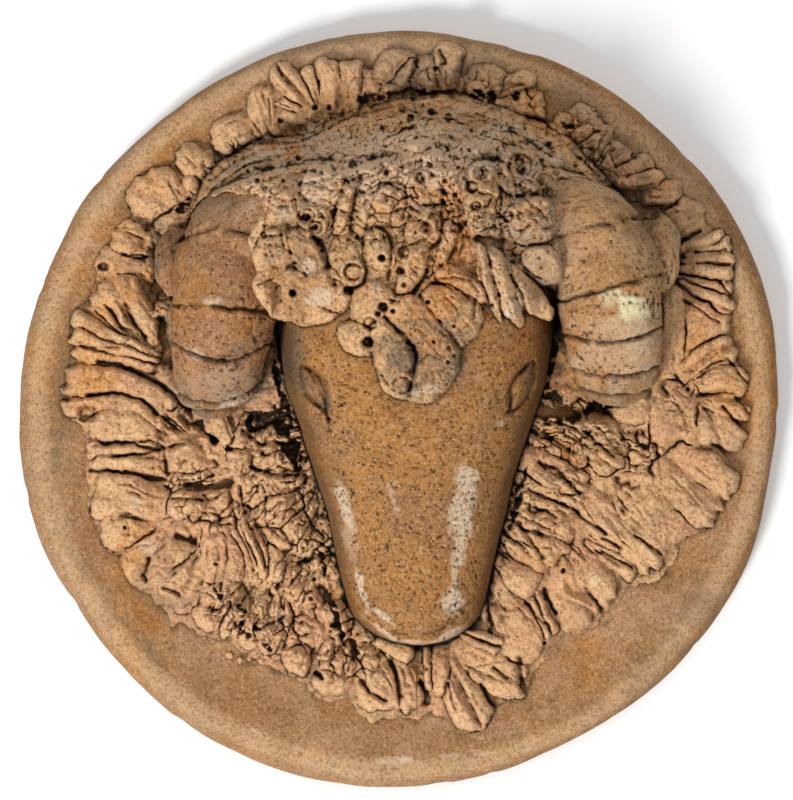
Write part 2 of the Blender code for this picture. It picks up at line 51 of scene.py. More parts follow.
# The plaque's sizes in metres
PLAQUE_WIDTH = 0.280
SLAB_THICKNESS = 0.0125
RIM_RISE = 0.0030
RIM_ROUNDING = 0.0075
RIM_BAND = 0.030
BACK_CHAMFER = 0.0020
SLAB_STEPS = 600
SLAB_BACK_ROWS = 47
HEAD_ACROSS = 0.0057
HORN_THICKNESS = 0.0355
HORN_SPACING = 0.1345
HORN_COIL = 0.0212
HORN_COIL_ABOVE_SLAB = 0.0060
HORN_ABOVE_CENTRE = 0.0365
HORN_ROOT_TURN = 38
FLEECE_BED = 0.0045
TONGUE_HEIGHT = 0.0092
PAD_HEIGHT = 0.0085
CURL_THICKNESS = 0.0145
SOCKET_WIDTH = 0.010
SOCKET_DEPTH = 0.009
SOCKET_BELOW_TOP = 0.045

# The drawing
DRAWN_VIEWPOINT = (396.5, 400)
DRAWN_CENTRE = (400, 408.5)
DRAWN_WIDTH = 756
DRAWN_FROM = 0.6
DRAWN_FOCUS = DRAWN_WIDTH / PLAQUE_WIDTH * (DRAWN_FROM - RIM_ROUNDING)
ACROSS = -(DRAWN_CENTRE[0] - DRAWN_VIEWPOINT[0]) * DRAWN_FROM / DRAWN_FOCUS
UP = (DRAWN_CENTRE[1] - DRAWN_VIEWPOINT[1]) * DRAWN_FROM / DRAWN_FOCUS
PICTURE_SIZE = (793, 800)
SENSOR_WIDTH = 36

# The height maps' grid, in squares of the drawing
STEP = 1.1
GRID_LEFT, GRID_RIGHT = 40, 775
GRID_TOP, GRID_BOTTOM = 25, 755
GRID_U, GRID_V = np.meshgrid(np.arange(GRID_LEFT, GRID_RIGHT, STEP), np.arange(GRID_TOP, GRID_BOTTOM, STEP))

OUTLINE_WAVES = (
    (2, 0.0011, 30), (3, 0.0003, 40), (5, 0.0005, 36), (6, 0.0004, 23), (8, 0.0004, 15), (13, 0.0002, 60),
)

# The face, down the drawing: v, left and right edge, height over the slab in millimetres
HEAD_LINES = (
    (140, 350, 490, 20), (152, 322, 520, 34), (170, 298, 545, 42), (200, 283, 560, 46.5),
    (250, 279, 558, 49.3), (300, 277, 555, 49), (330, 279, 553, 47.5), (345, 280, 552, 47),
    (385, 285, 545, 45), (420, 298, 533, 42.8), (450, 307, 523, 40.5), (480, 317, 513, 38),
    (510, 327, 507, 36), (540, 333, 499, 34.5), (570, 339, 492, 33.2), (600, 347, 485, 32),
    (615, 353, 480, 31), (626, 363, 471, 29.5), (635, 376, 459, 26.5), (641, 390, 445, 21),
    (645, 407, 427, 11), (646, 415, 419, 6),
)
HEAD_SQUARENESS = 2.6
# Where the face's own mesh begins under the forelock, and where its rows draw closer for the chin
FACE_TOP = 205
CHIN = 628
# Each eye: its middle, half its length and width in squares, the bearing of its long axis in degrees
EYES = ((314, 387, 25, 10.0, -61), (522, 387, 28, 9.5, 66))
MOUTH = ((373, 613), (382, 623), (395, 631), (411, 635), (428, 633), (444, 627), (457, 616))

# One horn's coil, as shares: turn in degrees, place outwards, thickness, width of the coil
HORN_COURSE = (
    (-40, -1.55, 1.00, 1.80), (-10, -0.90, 1.10, 1.44), (25, -0.20, 1.16, 1.18), (55, 0.00, 1.04, 1.03),
    (90, 0.00, 1.00, 1.00), (150, 0.10, 0.90, 0.99), (210, 0.28, 0.72, 0.92), (290, 0.42, 0.54, 0.96),
    (340, 0.50, 0.42, 1.06), (385, 0.58, 0.35, 1.02), (415, 0.58, 0.27, 0.88), (436, 0.54, 0.10, 0.74),
)
# The rings across each horn's front: v at its left edge, middle and right edge, depth in millimetres, and
# where the cut is heaviest, from -1 at the left edge to 1 at the right
HORN_RINGS = (
    (
        (242, 229, 248, 2.2, 0.5), (305, 307, 315, 2.4, 0.6), (344, 363, 342, 2.2, -0.1),
        (392, 403, 376, 1.8, 0.5), (404, 412, 398, 1.2, 0.3),
    ),
    (
        (236, 223, 215, 1.9, 0.3), (300, 288, 276, 1.8, -0.5), (334, 343, 329, 1.7, 0.4),
        (364, 379, 368, 2.1, 0.0), (380, 397, 384, 1.4, -0.3),
    ),
)
# Half a horn's width in squares, and the points round it
HORN_HALF_DRAWN = 48
HORN_STEPS = 150
# How much lower each horn's coil hangs at its front, in metres
HORN_DROPS = (0.0046, 0.0006)
# How much further out each horn's tip curls, as a share of its coil
HORN_TIP_REACH = (1.0, 1.24)

# Where the fleece's tongues point away from, and where its mesh is parted
FLEECE_MIDDLE = (412, 378)
FLEECE_PARTED = 417
# Tongues of the fleece, in squares: root u and v, tip u and v and width, then the number of pleats and the
# sideways bow where they aren't 1 and 0
OUTER_TONGUES = (
    (180, 212, 138, 180, 46), (214, 178, 178, 148, 28), (200, 214, 187, 172, 16), (152, 250, 112, 230, 32),
    (155, 270, 97, 262, 28, 1, 4), (160, 345, 110, 280, 40), (165, 352, 93, 300, 27),
    (168, 362, 75, 322, 16), (168, 366, 74, 337, 13), (172, 372, 74, 352, 15),
    (211, 436, 70, 376, 29, 1, 12), (185, 436, 70, 404, 18, 1, 14), (165, 440, 90, 424, 30, 1, 4),
    (162, 446, 87, 448, 20), (164, 463, 92, 464, 19), (168, 500, 90, 496, 42), (217, 460, 167, 460, 40),
    (208, 500, 165, 505, 28), (178, 525, 140, 584, 56, 1, -4), (202, 556, 163, 594, 24),
    (222, 505, 218, 610, 40), (229, 492, 254, 572, 15, 1, 3), (243, 495, 268, 578, 17, 1, 3),
    (272, 584, 246, 614, 24), (286, 580, 283, 634, 22, 2, 0), (262, 600, 240, 634, 24),
    (284, 622, 262, 650, 26), (304, 640, 293, 674, 24), (325, 562, 301, 620, 46), (320, 610, 302, 643, 32),
    (334, 630, 324, 660, 13), (358, 622, 332, 642, 18), (352, 645, 327, 692, 30), (364, 660, 370, 712, 20),
    (370, 650, 392, 712, 26), (396, 655, 411, 713, 27), (441, 646, 438, 694, 21),
    (446, 655, 480, 724, 34, 2, 0), (442, 645, 526, 684, 36), (500, 655, 524, 698, 11),
    (488, 592, 532, 656, 50), (525, 576, 553, 632, 17, 2, 0), (542, 560, 584, 622, 35),
    (560, 556, 602, 606, 40), (582, 545, 630, 577, 15), (575, 492, 654, 568, 28), (610, 472, 676, 548, 62),
    (652, 462, 712, 520, 32), (672, 448, 736, 492, 26), (656, 382, 672, 450, 60), (690, 380, 748, 382, 27),
    (695, 396, 748, 412, 16, 1, 4), (702, 404, 736, 448, 26, 1, 3), (697, 404, 706, 448, 18),
    (676, 372, 732, 345, 30, 2, 0), (690, 352, 716, 304, 40), (672, 370, 668, 290, 28),
    (684, 254, 734, 243, 15), (684, 262, 734, 259, 15), (682, 270, 730, 274, 15), (680, 276, 728, 290, 14),
    (682, 282, 732, 310, 15), (676, 250, 724, 236, 13), (662, 232, 704, 210, 36), (644, 198, 685, 190, 24),
    (620, 186, 662, 178, 19), (610, 180, 652, 161, 21, 1, 3), (606, 174, 629, 148, 25),
    (602, 162, 604, 127, 15), (594, 162, 587, 122, 20), (586, 150, 579, 107, 20), (572, 142, 556, 117, 24),
    (495, 102, 550, 108, 23), (498, 96, 534, 79, 18, 1, -3), (480, 106, 489, 65, 36),
    (448, 100, 455, 45, 25, 1, -3), (428, 102, 431, 56, 34), (374, 106, 408, 50, 30, 1, -6),
    (378, 96, 416, 62, 16), (370, 108, 369, 70, 17), (352, 110, 350, 60, 21), (328, 108, 325, 58, 23),
    (322, 112, 306, 66, 14), (316, 114, 278, 64, 22, 2, 0), (312, 116, 282, 98, 13),
    (308, 120, 283, 114, 14), (272, 137, 258, 84, 29), (256, 126, 213, 142, 31), (212, 556, 166, 604, 34),
    (232, 576, 200, 624, 30), (256, 590, 224, 634, 26), (268, 610, 246, 646, 24), (150, 520, 104, 536, 34),
    (190, 398, 160, 390, 30), (180, 330, 168, 300, 30), (186, 236, 168, 206, 34),
)
INNER_TONGUES = (
    (238, 483, 240, 446, 26), (230, 452, 216, 412, 12), (300, 466, 249, 455, 22), (286, 426, 250, 447, 15),
    (302, 430, 260, 453, 17), (306, 486, 253, 484, 23), (304, 500, 262, 518, 27), (256, 500, 282, 548, 15),
    (310, 515, 285, 532, 24), (320, 530, 290, 550, 26), (270, 540, 274, 580, 16), (246, 418, 232, 450, 16),
    (530, 424, 601, 438, 24), (522, 436, 592, 458, 23), (518, 456, 584, 486, 27), (512, 476, 582, 498, 22),
    (508, 490, 574, 516, 24, 1, 3), (506, 505, 570, 538, 30), (502, 522, 560, 560, 28),
    (498, 530, 546, 568, 28), (578, 484, 626, 546, 34, 1, 3), (575, 404, 616, 442, 28),
    (495, 560, 535, 590, 26), (600, 404, 648, 412, 26), (590, 440, 616, 470, 28), (345, 600, 322, 616, 16),
    (380, 640, 412, 656, 18), (455, 630, 500, 644, 16, 2, 0), (428, 648, 428, 690, 9),
)
# Deep cracks of the fleece: width in squares, depth in millimetres, then the course
FLEECE_CRACKS = (
    (3.2, 4.0, (100, 361), (122, 368), (150, 380), (170, 392), (190, 410), (215, 435)),
    (2.4, 3.2, (92, 392), (125, 398), (140, 402), (175, 424)),
    (2.2, 3.0, (95, 435), (105, 440), (150, 437), (163, 443), (185, 441)),
    (1.6, 2.4, (122, 455), (163, 445)), (2.0, 2.6, (163, 443), (168, 470)),
    (2.2, 3.0, (90, 472), (125, 477), (165, 475)), (5.0, 6.0, (166, 322), (168, 345), (164, 360)),
    (4.0, 5.5, (188, 483), (208, 485), (228, 486)), (1.8, 2.5, (172, 495), (205, 500)),
    (2.0, 3.0, (146, 560), (143, 575), (148, 584)), (4.5, 5.0, (176, 537), (192, 543)),
    (2.6, 3.0, (165, 592), (178, 595)), (2.4, 3.2, (125, 305), (134, 322), (148, 338)),
    (1.6, 2.2, (95, 313), (130, 340)), (1.6, 2.2, (80, 345), (120, 348)),
    (2.4, 3.0, (212, 145), (222, 158)), (2.2, 3.0, (135, 258), (147, 258)),
    (1.8, 2.6, (228, 492), (240, 535), (250, 568)), (1.8, 2.6, (237, 490), (252, 530), (262, 565)),
    (2.4, 3.4, (240, 430), (262, 445), (300, 440)), (2.4, 3.4, (250, 470), (280, 476), (308, 478)),
    (2.4, 3.0, (295, 562), (330, 556)), (5.0, 5.0, (322, 588), (330, 598)),
    (2.6, 3.5, (356, 645), (356, 660)), (2.6, 3.4, (363, 680), (372, 692), (382, 702)),
    (2.4, 3.2, (388, 660), (393, 678), (398, 696)), (3.4, 5.0, (417, 682), (424, 690), (428, 702)),
    (2.2, 3.0, (485, 683), (492, 705)), (2.2, 3.0, (497, 665), (512, 675)),
    (3.0, 4.0, (521, 655), (527, 690)), (2.2, 2.8, (523, 600), (545, 622)),
    (2.2, 2.8, (545, 590), (560, 612)), (2.2, 2.8, (583, 590), (597, 612)),
    (3.4, 4.5, (488, 545), (487, 580)), (2.8, 3.8, (520, 430), (560, 450), (575, 455)),
    (2.2, 3.2, (535, 418), (575, 432)), (2.2, 3.2, (588, 433), (615, 455)),
    (2.6, 3.6, (540, 463), (560, 467), (580, 490)),
    (2.4, 3.2, (512, 480), (545, 495), (575, 513), (605, 535)), (2.2, 3.0, (505, 487), (555, 520)),
    (2.2, 3.0, (515, 517), (540, 560)), (2.2, 3.0, (602, 540), (618, 550)),
    (2.2, 3.0, (600, 555), (628, 570)), (2.2, 3.0, (637, 540), (660, 557)),
    (8.0, 6.0, (535, 408), (570, 412), (608, 412)), (2.0, 2.6, (700, 370), (725, 360), (748, 382)),
    (2.2, 2.8, (695, 395), (735, 393), (748, 412)), (2.0, 2.6, (725, 408), (740, 430)),
    (2.0, 2.6, (708, 447), (728, 460)), (1.6, 2.4, (693, 253), (728, 250)),
    (1.6, 2.4, (697, 265), (728, 265)), (1.6, 2.4, (680, 275), (715, 280), (730, 300)),
    (1.6, 2.4, (677, 283), (700, 300), (733, 311)), (1.6, 2.4, (683, 300), (720, 322)),
    (2.2, 3.0, (665, 213), (680, 205)), (2.2, 3.0, (675, 243), (698, 230)),
    (2.4, 3.4, (368, 70), (368, 55), (378, 45), (420, 45)), (2.4, 3.4, (405, 80), (418, 60)),
    (2.2, 3.0, (443, 52), (447, 65), (437, 73)), (3.6, 4.5, (467, 60), (467, 75)),
    (4.2, 5.0, (547, 98), (550, 120)),
)
# Pits and holes: middle u and v, radius in squares, depth in millimetres
FLEECE_HOLES = (
    (170, 157, 4.5, 4), (103, 268, 6, 5), (90, 411, 9, 4.5), (125, 528, 2, 2.5), (212, 565, 2, 2.5),
    (243, 622, 3, 3), (258, 628, 3, 3), (250, 635, 3, 3), (314, 580, 2.2, 3), (313, 597, 2.2, 3),
    (388, 93, 3, 3), (399, 92, 3, 3), (432, 55, 2.4, 3), (545, 640, 2.4, 3), (560, 573, 2.2, 3),
    (315, 108, 3, 3), (330, 108, 3, 3), (285, 122, 3, 3), (685, 385, 2.4, 3), (425, 668, 3, 3),
    (118, 219, 3.5, 3), (570, 128, 3, 3.5), (590, 112, 3.5, 3.5), (617, 140, 3, 3.5), (635, 157, 3.5, 3.5),
    (655, 155, 3, 3),
)

# The edge of the crown against the fleece, from the left horn's root to the right one's
CROWN_EDGE = (
    (174, 250), (178, 232), (186, 206), (200, 178), (224, 158), (253, 141), (302, 135), (321, 124),
    (359, 110), (406, 98), (440, 92), (470, 97), (500, 106), (524, 114), (548, 125), (572, 139),
    (591, 160), (612, 184), (628, 206), (636, 226),
)
# The line from horn to horn that the crown's clay reaches down to, part of it behind the horns
CROWN_END = (
    (600, 232), (572, 262), (557, 300), (420, 300), (310, 324), (272, 324), (252, 290), (247, 262),
    (244, 238), (212, 236), (196, 262),
)
# Where the crown's clay lies over the horns: the left root's lower edge, then the right root's
OVER_LEFT_HORN = (
    (176, 190), (196, 199), (228, 189), (256, 194), (262, 214), (252, 234), (251, 262), (256, 288),
    (270, 320), (420, 320), (420, 110),
)
OVER_RIGHT_HORN = (
    (556, 300), (560, 250), (555, 215), (554, 192), (563, 178), (581, 177), (600, 181), (622, 192),
    (622, 120), (420, 110), (420, 300),
)

# Pads pressed over the brow: middle u and v, length and width in squares, bearing in degrees, height as a
# share of PAD_HEIGHT
FORELOCK = (
    (415, 205, 250, 230, 90, 0.35), (274, 256, 52, 44, 80, 1.10), (296, 295, 92, 60, -22, 1.25),
    (324, 292, 52, 54, 70, 1.30), (308, 256, 62, 38, -55, 1.15), (315, 221, 42, 28, -35, 0.95),
    (344, 208, 58, 15, 75, 0.75), (348, 261, 54, 36, 100, 1.10), (377, 248, 50, 30, -68, 1.00),
    (384, 205, 54, 46, 20, 0.80), (412, 267, 66, 28, 66, 0.90), (424, 226, 48, 36, 80, 0.85),
    (447, 238, 66, 17, 76, 0.95), (480, 200, 82, 40, 82, 0.90), (521, 170, 54, 44, 85, 1.05),
    (532, 220, 52, 50, 90, 0.95), (490, 284, 80, 18, -77, 1.00), (506, 287, 86, 25, -70, 1.20),
    (531, 294, 70, 26, -54, 1.25), (543, 264, 50, 40, -38, 1.15), (449, 316, 70, 60, -43, 1.20),
    (462, 284, 68, 28, -32, 0.95), (372, 305, 50, 48, 0, 1.05), (358, 337, 44, 36, -20, 0.95),
    (440, 168, 46, 36, 120, 0.70), (368, 162, 60, 30, 10, 0.60), (325, 185, 50, 44, 60, 0.60),
    (285, 205, 56, 44, 90, 0.55), (470, 150, 60, 26, -14, 0.55), (420, 140, 70, 26, 4, 0.50),
)
# Two rolled curls that hang over the brow: radius in squares, then the course
CURLS = (
    (20.5, (389, 334), (392, 348), (393, 362), (401, 380)),
    (23.5, (408, 318), (424, 328), (436, 345), (438, 362), (430, 376), (424, 380)),
)
FORELOCK_CRACKS = (
    (1.3, 1.5, (281, 235), (284, 248), (292, 253)), (1.7, 2.0, (263, 238), (272, 236), (281, 235)),
    (1.3, 1.3, (296, 262), (303, 268), (306, 276)),
    (1.4, 1.5, (258, 285), (272, 279), (285, 270), (294, 262)),
    (3.2, 3.0, (314, 237), (322, 248), (327, 262), (330, 278), (334, 284)),
    (1.8, 2.0, (334, 279), (340, 281), (346, 290)),
    (1.5, 1.8, (362, 262), (366, 272), (364, 284), (354, 288)),
    (1.3, 1.5, (350, 240), (357, 247), (362, 262)),
    (2.2, 2.6, (345, 180), (341, 195), (336, 208), (332, 218)),
    (3.4, 2.6, (360, 180), (354, 198), (352, 212), (352, 232)),
    (1.7, 2.4, (376, 226), (386, 232), (391, 242), (391, 262), (388, 280)),
    (1.7, 1.9, (362, 206), (372, 195), (380, 186), (395, 183), (405, 186), (407, 205), (403, 218)),
    (1.6, 1.6, (320, 158), (331, 160), (333, 176)), (1.6, 1.7, (300, 160), (320, 160), (345, 162)),
    (3.6, 3.6, (372, 159), (385, 155), (398, 156)), (1.7, 1.9, (391, 300), (398, 302), (404, 294)),
    (1.9, 2.6, (384, 317), (395, 328), (404, 338), (412, 346)),
    (2.0, 3.0, (414, 346), (416, 360), (413, 380), (410, 396)),
    (2.0, 2.2, (420, 296), (428, 308), (440, 322)), (2.8, 2.4, (440, 322), (452, 336), (458, 348)),
    (1.5, 1.9, (432, 283), (448, 284), (462, 292), (474, 304)), (1.4, 1.3, (446, 298), (458, 310)),
    (1.5, 1.7, (475, 300), (474, 318)), (1.4, 1.6, (436, 279), (455, 277), (470, 281), (479, 292)),
    (2.2, 2.2, (413, 294), (420, 284), (426, 275)),
    (1.6, 1.9, (458, 246), (447, 260), (436, 270), (428, 278)),
    (1.9, 2.1, (443, 200), (441, 215), (444, 228), (441, 240), (432, 248), (424, 254)),
    (1.5, 1.6, (462, 228), (464, 243), (459, 256)), (1.4, 1.5, (450, 200), (455, 212), (452, 222)),
    (1.5, 1.7, (489, 256), (493, 275), (496, 298)),
    (1.5, 1.8, (480, 262), (482, 285), (490, 302), (497, 312)),
    (2.1, 2.6, (500, 245), (506, 262), (512, 280), (522, 294), (526, 310), (528, 326)),
    (1.9, 2.3, (512, 262), (524, 272), (538, 284), (546, 292)),
    (2.6, 2.8, (530, 244), (545, 244), (558, 240)), (1.6, 1.8, (525, 268), (535, 276), (550, 282)),
    (2.8, 3.2, (482, 240), (490, 240), (502, 242)),
    (1.9, 2.3, (494, 178), (500, 190), (502, 200), (500, 215), (503, 236)),
    (1.9, 2.1, (497, 158), (505, 165), (514, 178), (518, 195)),
    (2.1, 2.5, (475, 160), (485, 157), (495, 160)), (2.5, 2.8, (518, 196), (535, 194), (552, 198)),
    (2.1, 2.5, (556, 200), (557, 236)), (2.4, 2.8, (561, 245), (566, 262), (562, 285)),
    (3.4, 3.2, (412, 117), (440, 121), (462, 124)),
    (2.0, 2.0, (255, 144), (300, 142), (345, 120), (372, 110)),
    (2.0, 2.0, (400, 112), (430, 113), (470, 116), (510, 130), (540, 148)),
    (1.7, 1.9, (212, 180), (235, 162), (262, 150), (300, 147)),
    (1.5, 1.8, (222, 182), (245, 166), (280, 156)), (1.9, 2.4, (254, 168), (262, 170), (273, 168)),
    (1.5, 1.8, (256, 162), (272, 160)), (1.7, 2.0, (303, 172), (316, 171)),
    (1.5, 1.7, (470, 130), (500, 142), (530, 150)), (1.6, 1.8, (410, 207), (420, 214)),
    (1.6, 1.8, (413, 215), (424, 222)), (1.8, 2.2, (220, 197), (258, 199)),
    (1.6, 1.8, (570, 150), (590, 168), (610, 186)), (1.4, 1.6, (466, 180), (470, 190), (476, 196)),
    (1.5, 1.6, (270, 175), (271, 195), (266, 215), (264, 232)),
    (1.4, 1.5, (294, 195), (297, 210), (300, 220)), (1.6, 1.8, (373, 362), (386, 382), (398, 396)),
)
FORELOCK_HOLES = (
    (306, 217, 5.0, 3.6), (315, 227, 3.6, 3.0), (287, 206, 2.8, 1.6), (293, 293, 3.8, 4.5),
    (322, 251, 1.8, 3.0), (382, 258, 4.0, 4.0), (401, 271, 4.4, 4.0), (427, 271, 2.8, 2.4),
    (427, 228, 3.8, 1.6), (383, 307, 5.4, 4.2), (378, 314, 3.2, 3.6), (393, 311, 2.6, 2.4),
    (368, 342, 6.2, 4.6), (341, 312, 1.9, 2.0), (428, 302, 2.4, 3.0), (454, 326, 2.0, 2.4),
    (434, 342, 2.0, 2.0), (499, 295, 2.2, 3.0), (492, 305, 2.0, 1.8), (484, 303, 2.0, 1.6),
    (481, 173, 4.2, 2.2), (519, 162, 5.2, 4.0), (521, 170, 5.2, 4.0), (449, 348, 2.8, 1.8),
    (448, 362, 2.2, 2.4), (454, 356, 1.6, 2.0), (408, 343, 2.4, 3.0), (257, 181, 2.6, 2.8),
    (283, 181, 2.2, 2.0), (299, 185, 2.0, 2.0), (298, 158, 2.8, 2.8), (287, 168, 2.4, 2.4),
    (322, 173, 2.6, 2.4), (353, 165, 5.0, 3.2), (386, 173, 3.0, 3.0), (264, 235, 3.6, 3.4),
    (348, 291, 5.0, 3.6), (348, 240, 2.4, 2.2), (357, 238, 2.4, 2.2), (478, 238, 4.2, 3.2),
    (484, 243, 3.2, 3.2), (556, 173, 3.6, 3.4), (560, 182, 3.6, 3.4), (545, 192, 3.8, 2.8),
    (433, 175, 2.8, 2.0), (445, 181, 2.8, 2.6), (430, 165, 3.4, 2.6), (458, 168, 2.0, 2.2),
    (455, 195, 3.0, 2.8), (402, 109, 3.4, 3.2), (410, 118, 4.0, 3.2), (508, 322, 4.4, 2.6),
    (514, 325, 3.0, 2.4), (295, 263, 1.8, 2.0), (404, 285, 3.0, 1.8), (554, 235, 2.4, 2.6),
    (512, 318, 2.6, 1.8), (431, 112, 4.0, 3.0), (448, 118, 4.4, 3.0), (553, 150, 3.0, 1.6),
)
# Marks stamped with the end of a tube: middle u and v, radius in squares
TUBE_MARKS = (
    (353, 272, 8.5), (427, 228, 5.0), (456, 228, 5.0), (402, 385, 8.5), (481, 173, 6.5), (526, 186, 6.5),
    (520, 166, 11.5), (307, 216, 7.5), (316, 227, 6.0), (420, 178, 4.5), (370, 323, 6.0), (404, 252, 5.0),
    (508, 216, 5.0), (472, 187, 5.5), (476, 206, 4.5),
)
FACE_CRACKS = (
    (1.5, 1.2, (307, 369), (318, 384), (325, 402), (329, 420)), (2.0, 1.8, (326, 411), (330, 423)),
    (1.4, 1.0, (302, 368), (310, 390), (322, 412)),
    (1.5, 1.2, (534, 364), (524, 378), (514, 396), (507, 414)), (1.8, 1.5, (520, 372), (527, 366)),
    (1.2, 0.9, (517, 380), (512, 398)),
)
FACE_HOLES = ((341, 405, 2.0, 1.6), (329, 419, 2.2, 1.8), (310, 372, 1.8, 1.4), (508, 412, 2.0, 1.4))
# Where the fleece is torn and crumbly: middle u and v, half length and half width, bearing, strength
CRUMBLY_PLACES = (
    (262, 620, 70, 34, -38, 1.0), (300, 575, 50, 24, -70, 0.9), (205, 500, 60, 26, -40, 0.8),
    (290, 440, 50, 34, 10, 0.9), (570, 435, 60, 34, -20, 0.9), (245, 155, 60, 20, 25, 0.8),
    (165, 240, 34, 26, 90, 0.6), (350, 660, 40, 26, 0, 0.8), (625, 450, 40, 26, 0, 0.7),
    (440, 80, 60, 18, 0, 0.5), (690, 400, 40, 24, 60, 0.5), (600, 150, 50, 20, -45, 0.5),
    (316, 530, 80, 20, -72, 0.9), (506, 540, 90, 12, 70, 0.6), (270, 500, 60, 46, -70, 0.7),
    (545, 500, 80, 40, 60, 0.5), (350, 115, 130, 12, 22, 0.7), (560, 120, 80, 12, -35, 0.6),
    (215, 180, 60, 16, 50, 0.7), (160, 300, 60, 12, 85, 0.4),
)

# Where pale slip or a scrape shows, and a broad painted light over the crown: middle u and v, half length
# and half width, bearing, strength
PALE_MARKS = (
    (345, 508, 30, 6, -72, 0.9), (361, 589, 22, 5, -70, 1.0), (387, 619, 20, 4, -40, 1.0),
    (386, 633, 18, 3.5, -34, 0.9), (412, 642, 16, 3, 0, 0.9), (446, 637, 20, 3.5, 28, 0.9),
    (464, 505, 38, 12, 84, 1.0), (461, 545, 26, 6, 84, 0.9), (452, 600, 18, 9, 80, 1.0),
    (500, 424, 4, 3, 0, 0.6), (455, 570, 22, 4, 88, 0.8), (349, 540, 20, 8, -80, 0.4),
    (618, 350, 50, 46, 0, 0.35), (228, 388, 40, 24, 0, 0.2), (385, 166, 130, 40, 6, 0.62),
    (522, 262, 44, 54, 0, 0.25), (392, 495, 22, 4, -75, 0.45), (212, 301, 14, 4, 0, 0.7),
    (230, 401, 18, 7, 8, 1.0), (194, 354, 14, 5, -30, 0.5), (318, 296, 14, 8, 0, 0.8),
    (308, 268, 6, 10, 0, 0.8), (513, 312, 10, 9, 50, 0.9), (135, 503, 8, 8, 0, 0.6),
    (146, 546, 8, 6, 0, 0.6), (262, 600, 5, 5, 0, 0.5), (280, 615, 6, 12, 20, 0.6),
    (281, 150, 7, 4, 20, 0.8), (486, 84, 4, 3, 0, 0.9), (257, 731, 10, 3, -20, 0.6),
    (395, 761, 14, 4, 0, 0.8), (447, 756, 8, 3, 0, 0.5), (480, 754, 10, 3, 5, 0.5),
    (527, 749, 8, 3, 10, 0.5), (376, 282, 5, 12, 0, 0.6), (482, 172, 7, 5, 0, 0.7),
    (556, 160, 7, 5, 0, 0.7), (428, 390, 14, 4, 12, 0.5),
)
YELLOW_MARKS = ((628, 306, 17, 15, 0, 1.0), (612, 300, 12, 10, 0, 0.5), (595, 580, 7, 6, 0, 0.5))
# Deep places painted dark, as grime and as painted shade, and cut deeper, in the same order
DARK_PLACES = (
    (283, 345, 60, 6, -84, 1.0), (290, 440, 34, 7, -66, 0.9), (552, 350, 60, 4, 80, 0.8),
    (284, 398, 34, 7, -72, 1.0), (166, 344, 18, 5, -70, 0.9), (262, 421, 34, 8, 12, 1.0),
    (208, 485, 26, 5, -4, 1.0), (545, 412, 40, 13, -6, 1.0), (552, 393, 24, 8, -10, 1.0),
    (606, 402, 30, 8, 20, 0.9), (505, 428, 18, 9, 60, 0.9), (183, 204, 12, 5, 60, 0.8),
    (430, 98, 84, 8, 0, 0.95), (560, 122, 30, 5, -40, 0.8), (186, 238, 5, 12, 0, 0.6),
    (627, 240, 30, 5, -62, 0.9), (183, 268, 32, 4, -84, 0.8), (215, 436, 40, 5, -45, 0.8),
    (319, 560, 5, 9, 0, 0.6), (240, 604, 8, 5, -40, 0.7), (216, 590, 10, 4, -40, 0.7),
    (270, 648, 10, 4, -40, 0.7), (322, 672, 10, 4, -50, 0.7), (700, 452, 12, 5, -20, 0.6),
    (488, 560, 40, 4, 68, 0.8), (516, 500, 50, 4, 72, 0.7), (333, 600, 60, 3, -72, 0.7),
    (350, 640, 24, 4, -50, 0.6),
)
# Where smoke or grime greys the clay, and painted shade over the collar's top and the top right tongues in
# the crown's shadow and over the curls, in the same order
GREY_MARKS = (
    (316, 392, 26, 8, -62, 0.9), (521, 387, 28, 8, 66, 0.5), (295, 350, 20, 12, -80, 0.8),
    (60, 400, 90, 8, 85, 0.8), (110, 600, 90, 8, -52, 0.5), (380, 46, 120, 9, 0, 0.5),
    (700, 190, 120, 9, -55, 0.5), (206, 214, 24, 14, 40, 0.8), (232, 392, 60, 18, 10, 0.7),
    (190, 402, 34, 12, -60, 0.7), (245, 350, 20, 14, 60, 0.5), (650, 235, 40, 10, -70, 0.8),
    (160, 250, 34, 10, 80, 0.7), (160, 590, 46, 22, -45, 0.5), (530, 215, 60, 40, 90, 0.75),
    (500, 150, 60, 26, -25, 0.45), (440, 112, 80, 10, 0, 0.4), (228, 214, 26, 16, 20, 0.6),
    (418, 356, 40, 36, 0, 1.0), (362, 578, 26, 16, -70, 0.3), (395, 610, 30, 16, -40, 0.25),
    (296, 380, 22, 14, -70, 0.7), (330, 460, 60, 12, -70, 0.35), (455, 360, 10, 30, 10, 0.8),
    (545, 265, 24, 30, 0, 0.6), (225, 385, 40, 30, 0, 0.45), (600, 395, 40, 16, 0, 0.6),
    (630, 215, 30, 30, 0, 0.35), (300, 250, 34, 40, 0, 0.55), (430, 72, 80, 26, 0, 0.75),
    (600, 140, 70, 26, -45, 0.6), (690, 230, 60, 26, -70, 0.4), (672, 640, 120, 26, 50, 0.4),
    (58, 420, 120, 18, 88, 0.35), (270, 150, 60, 20, 25, 0.35),
)
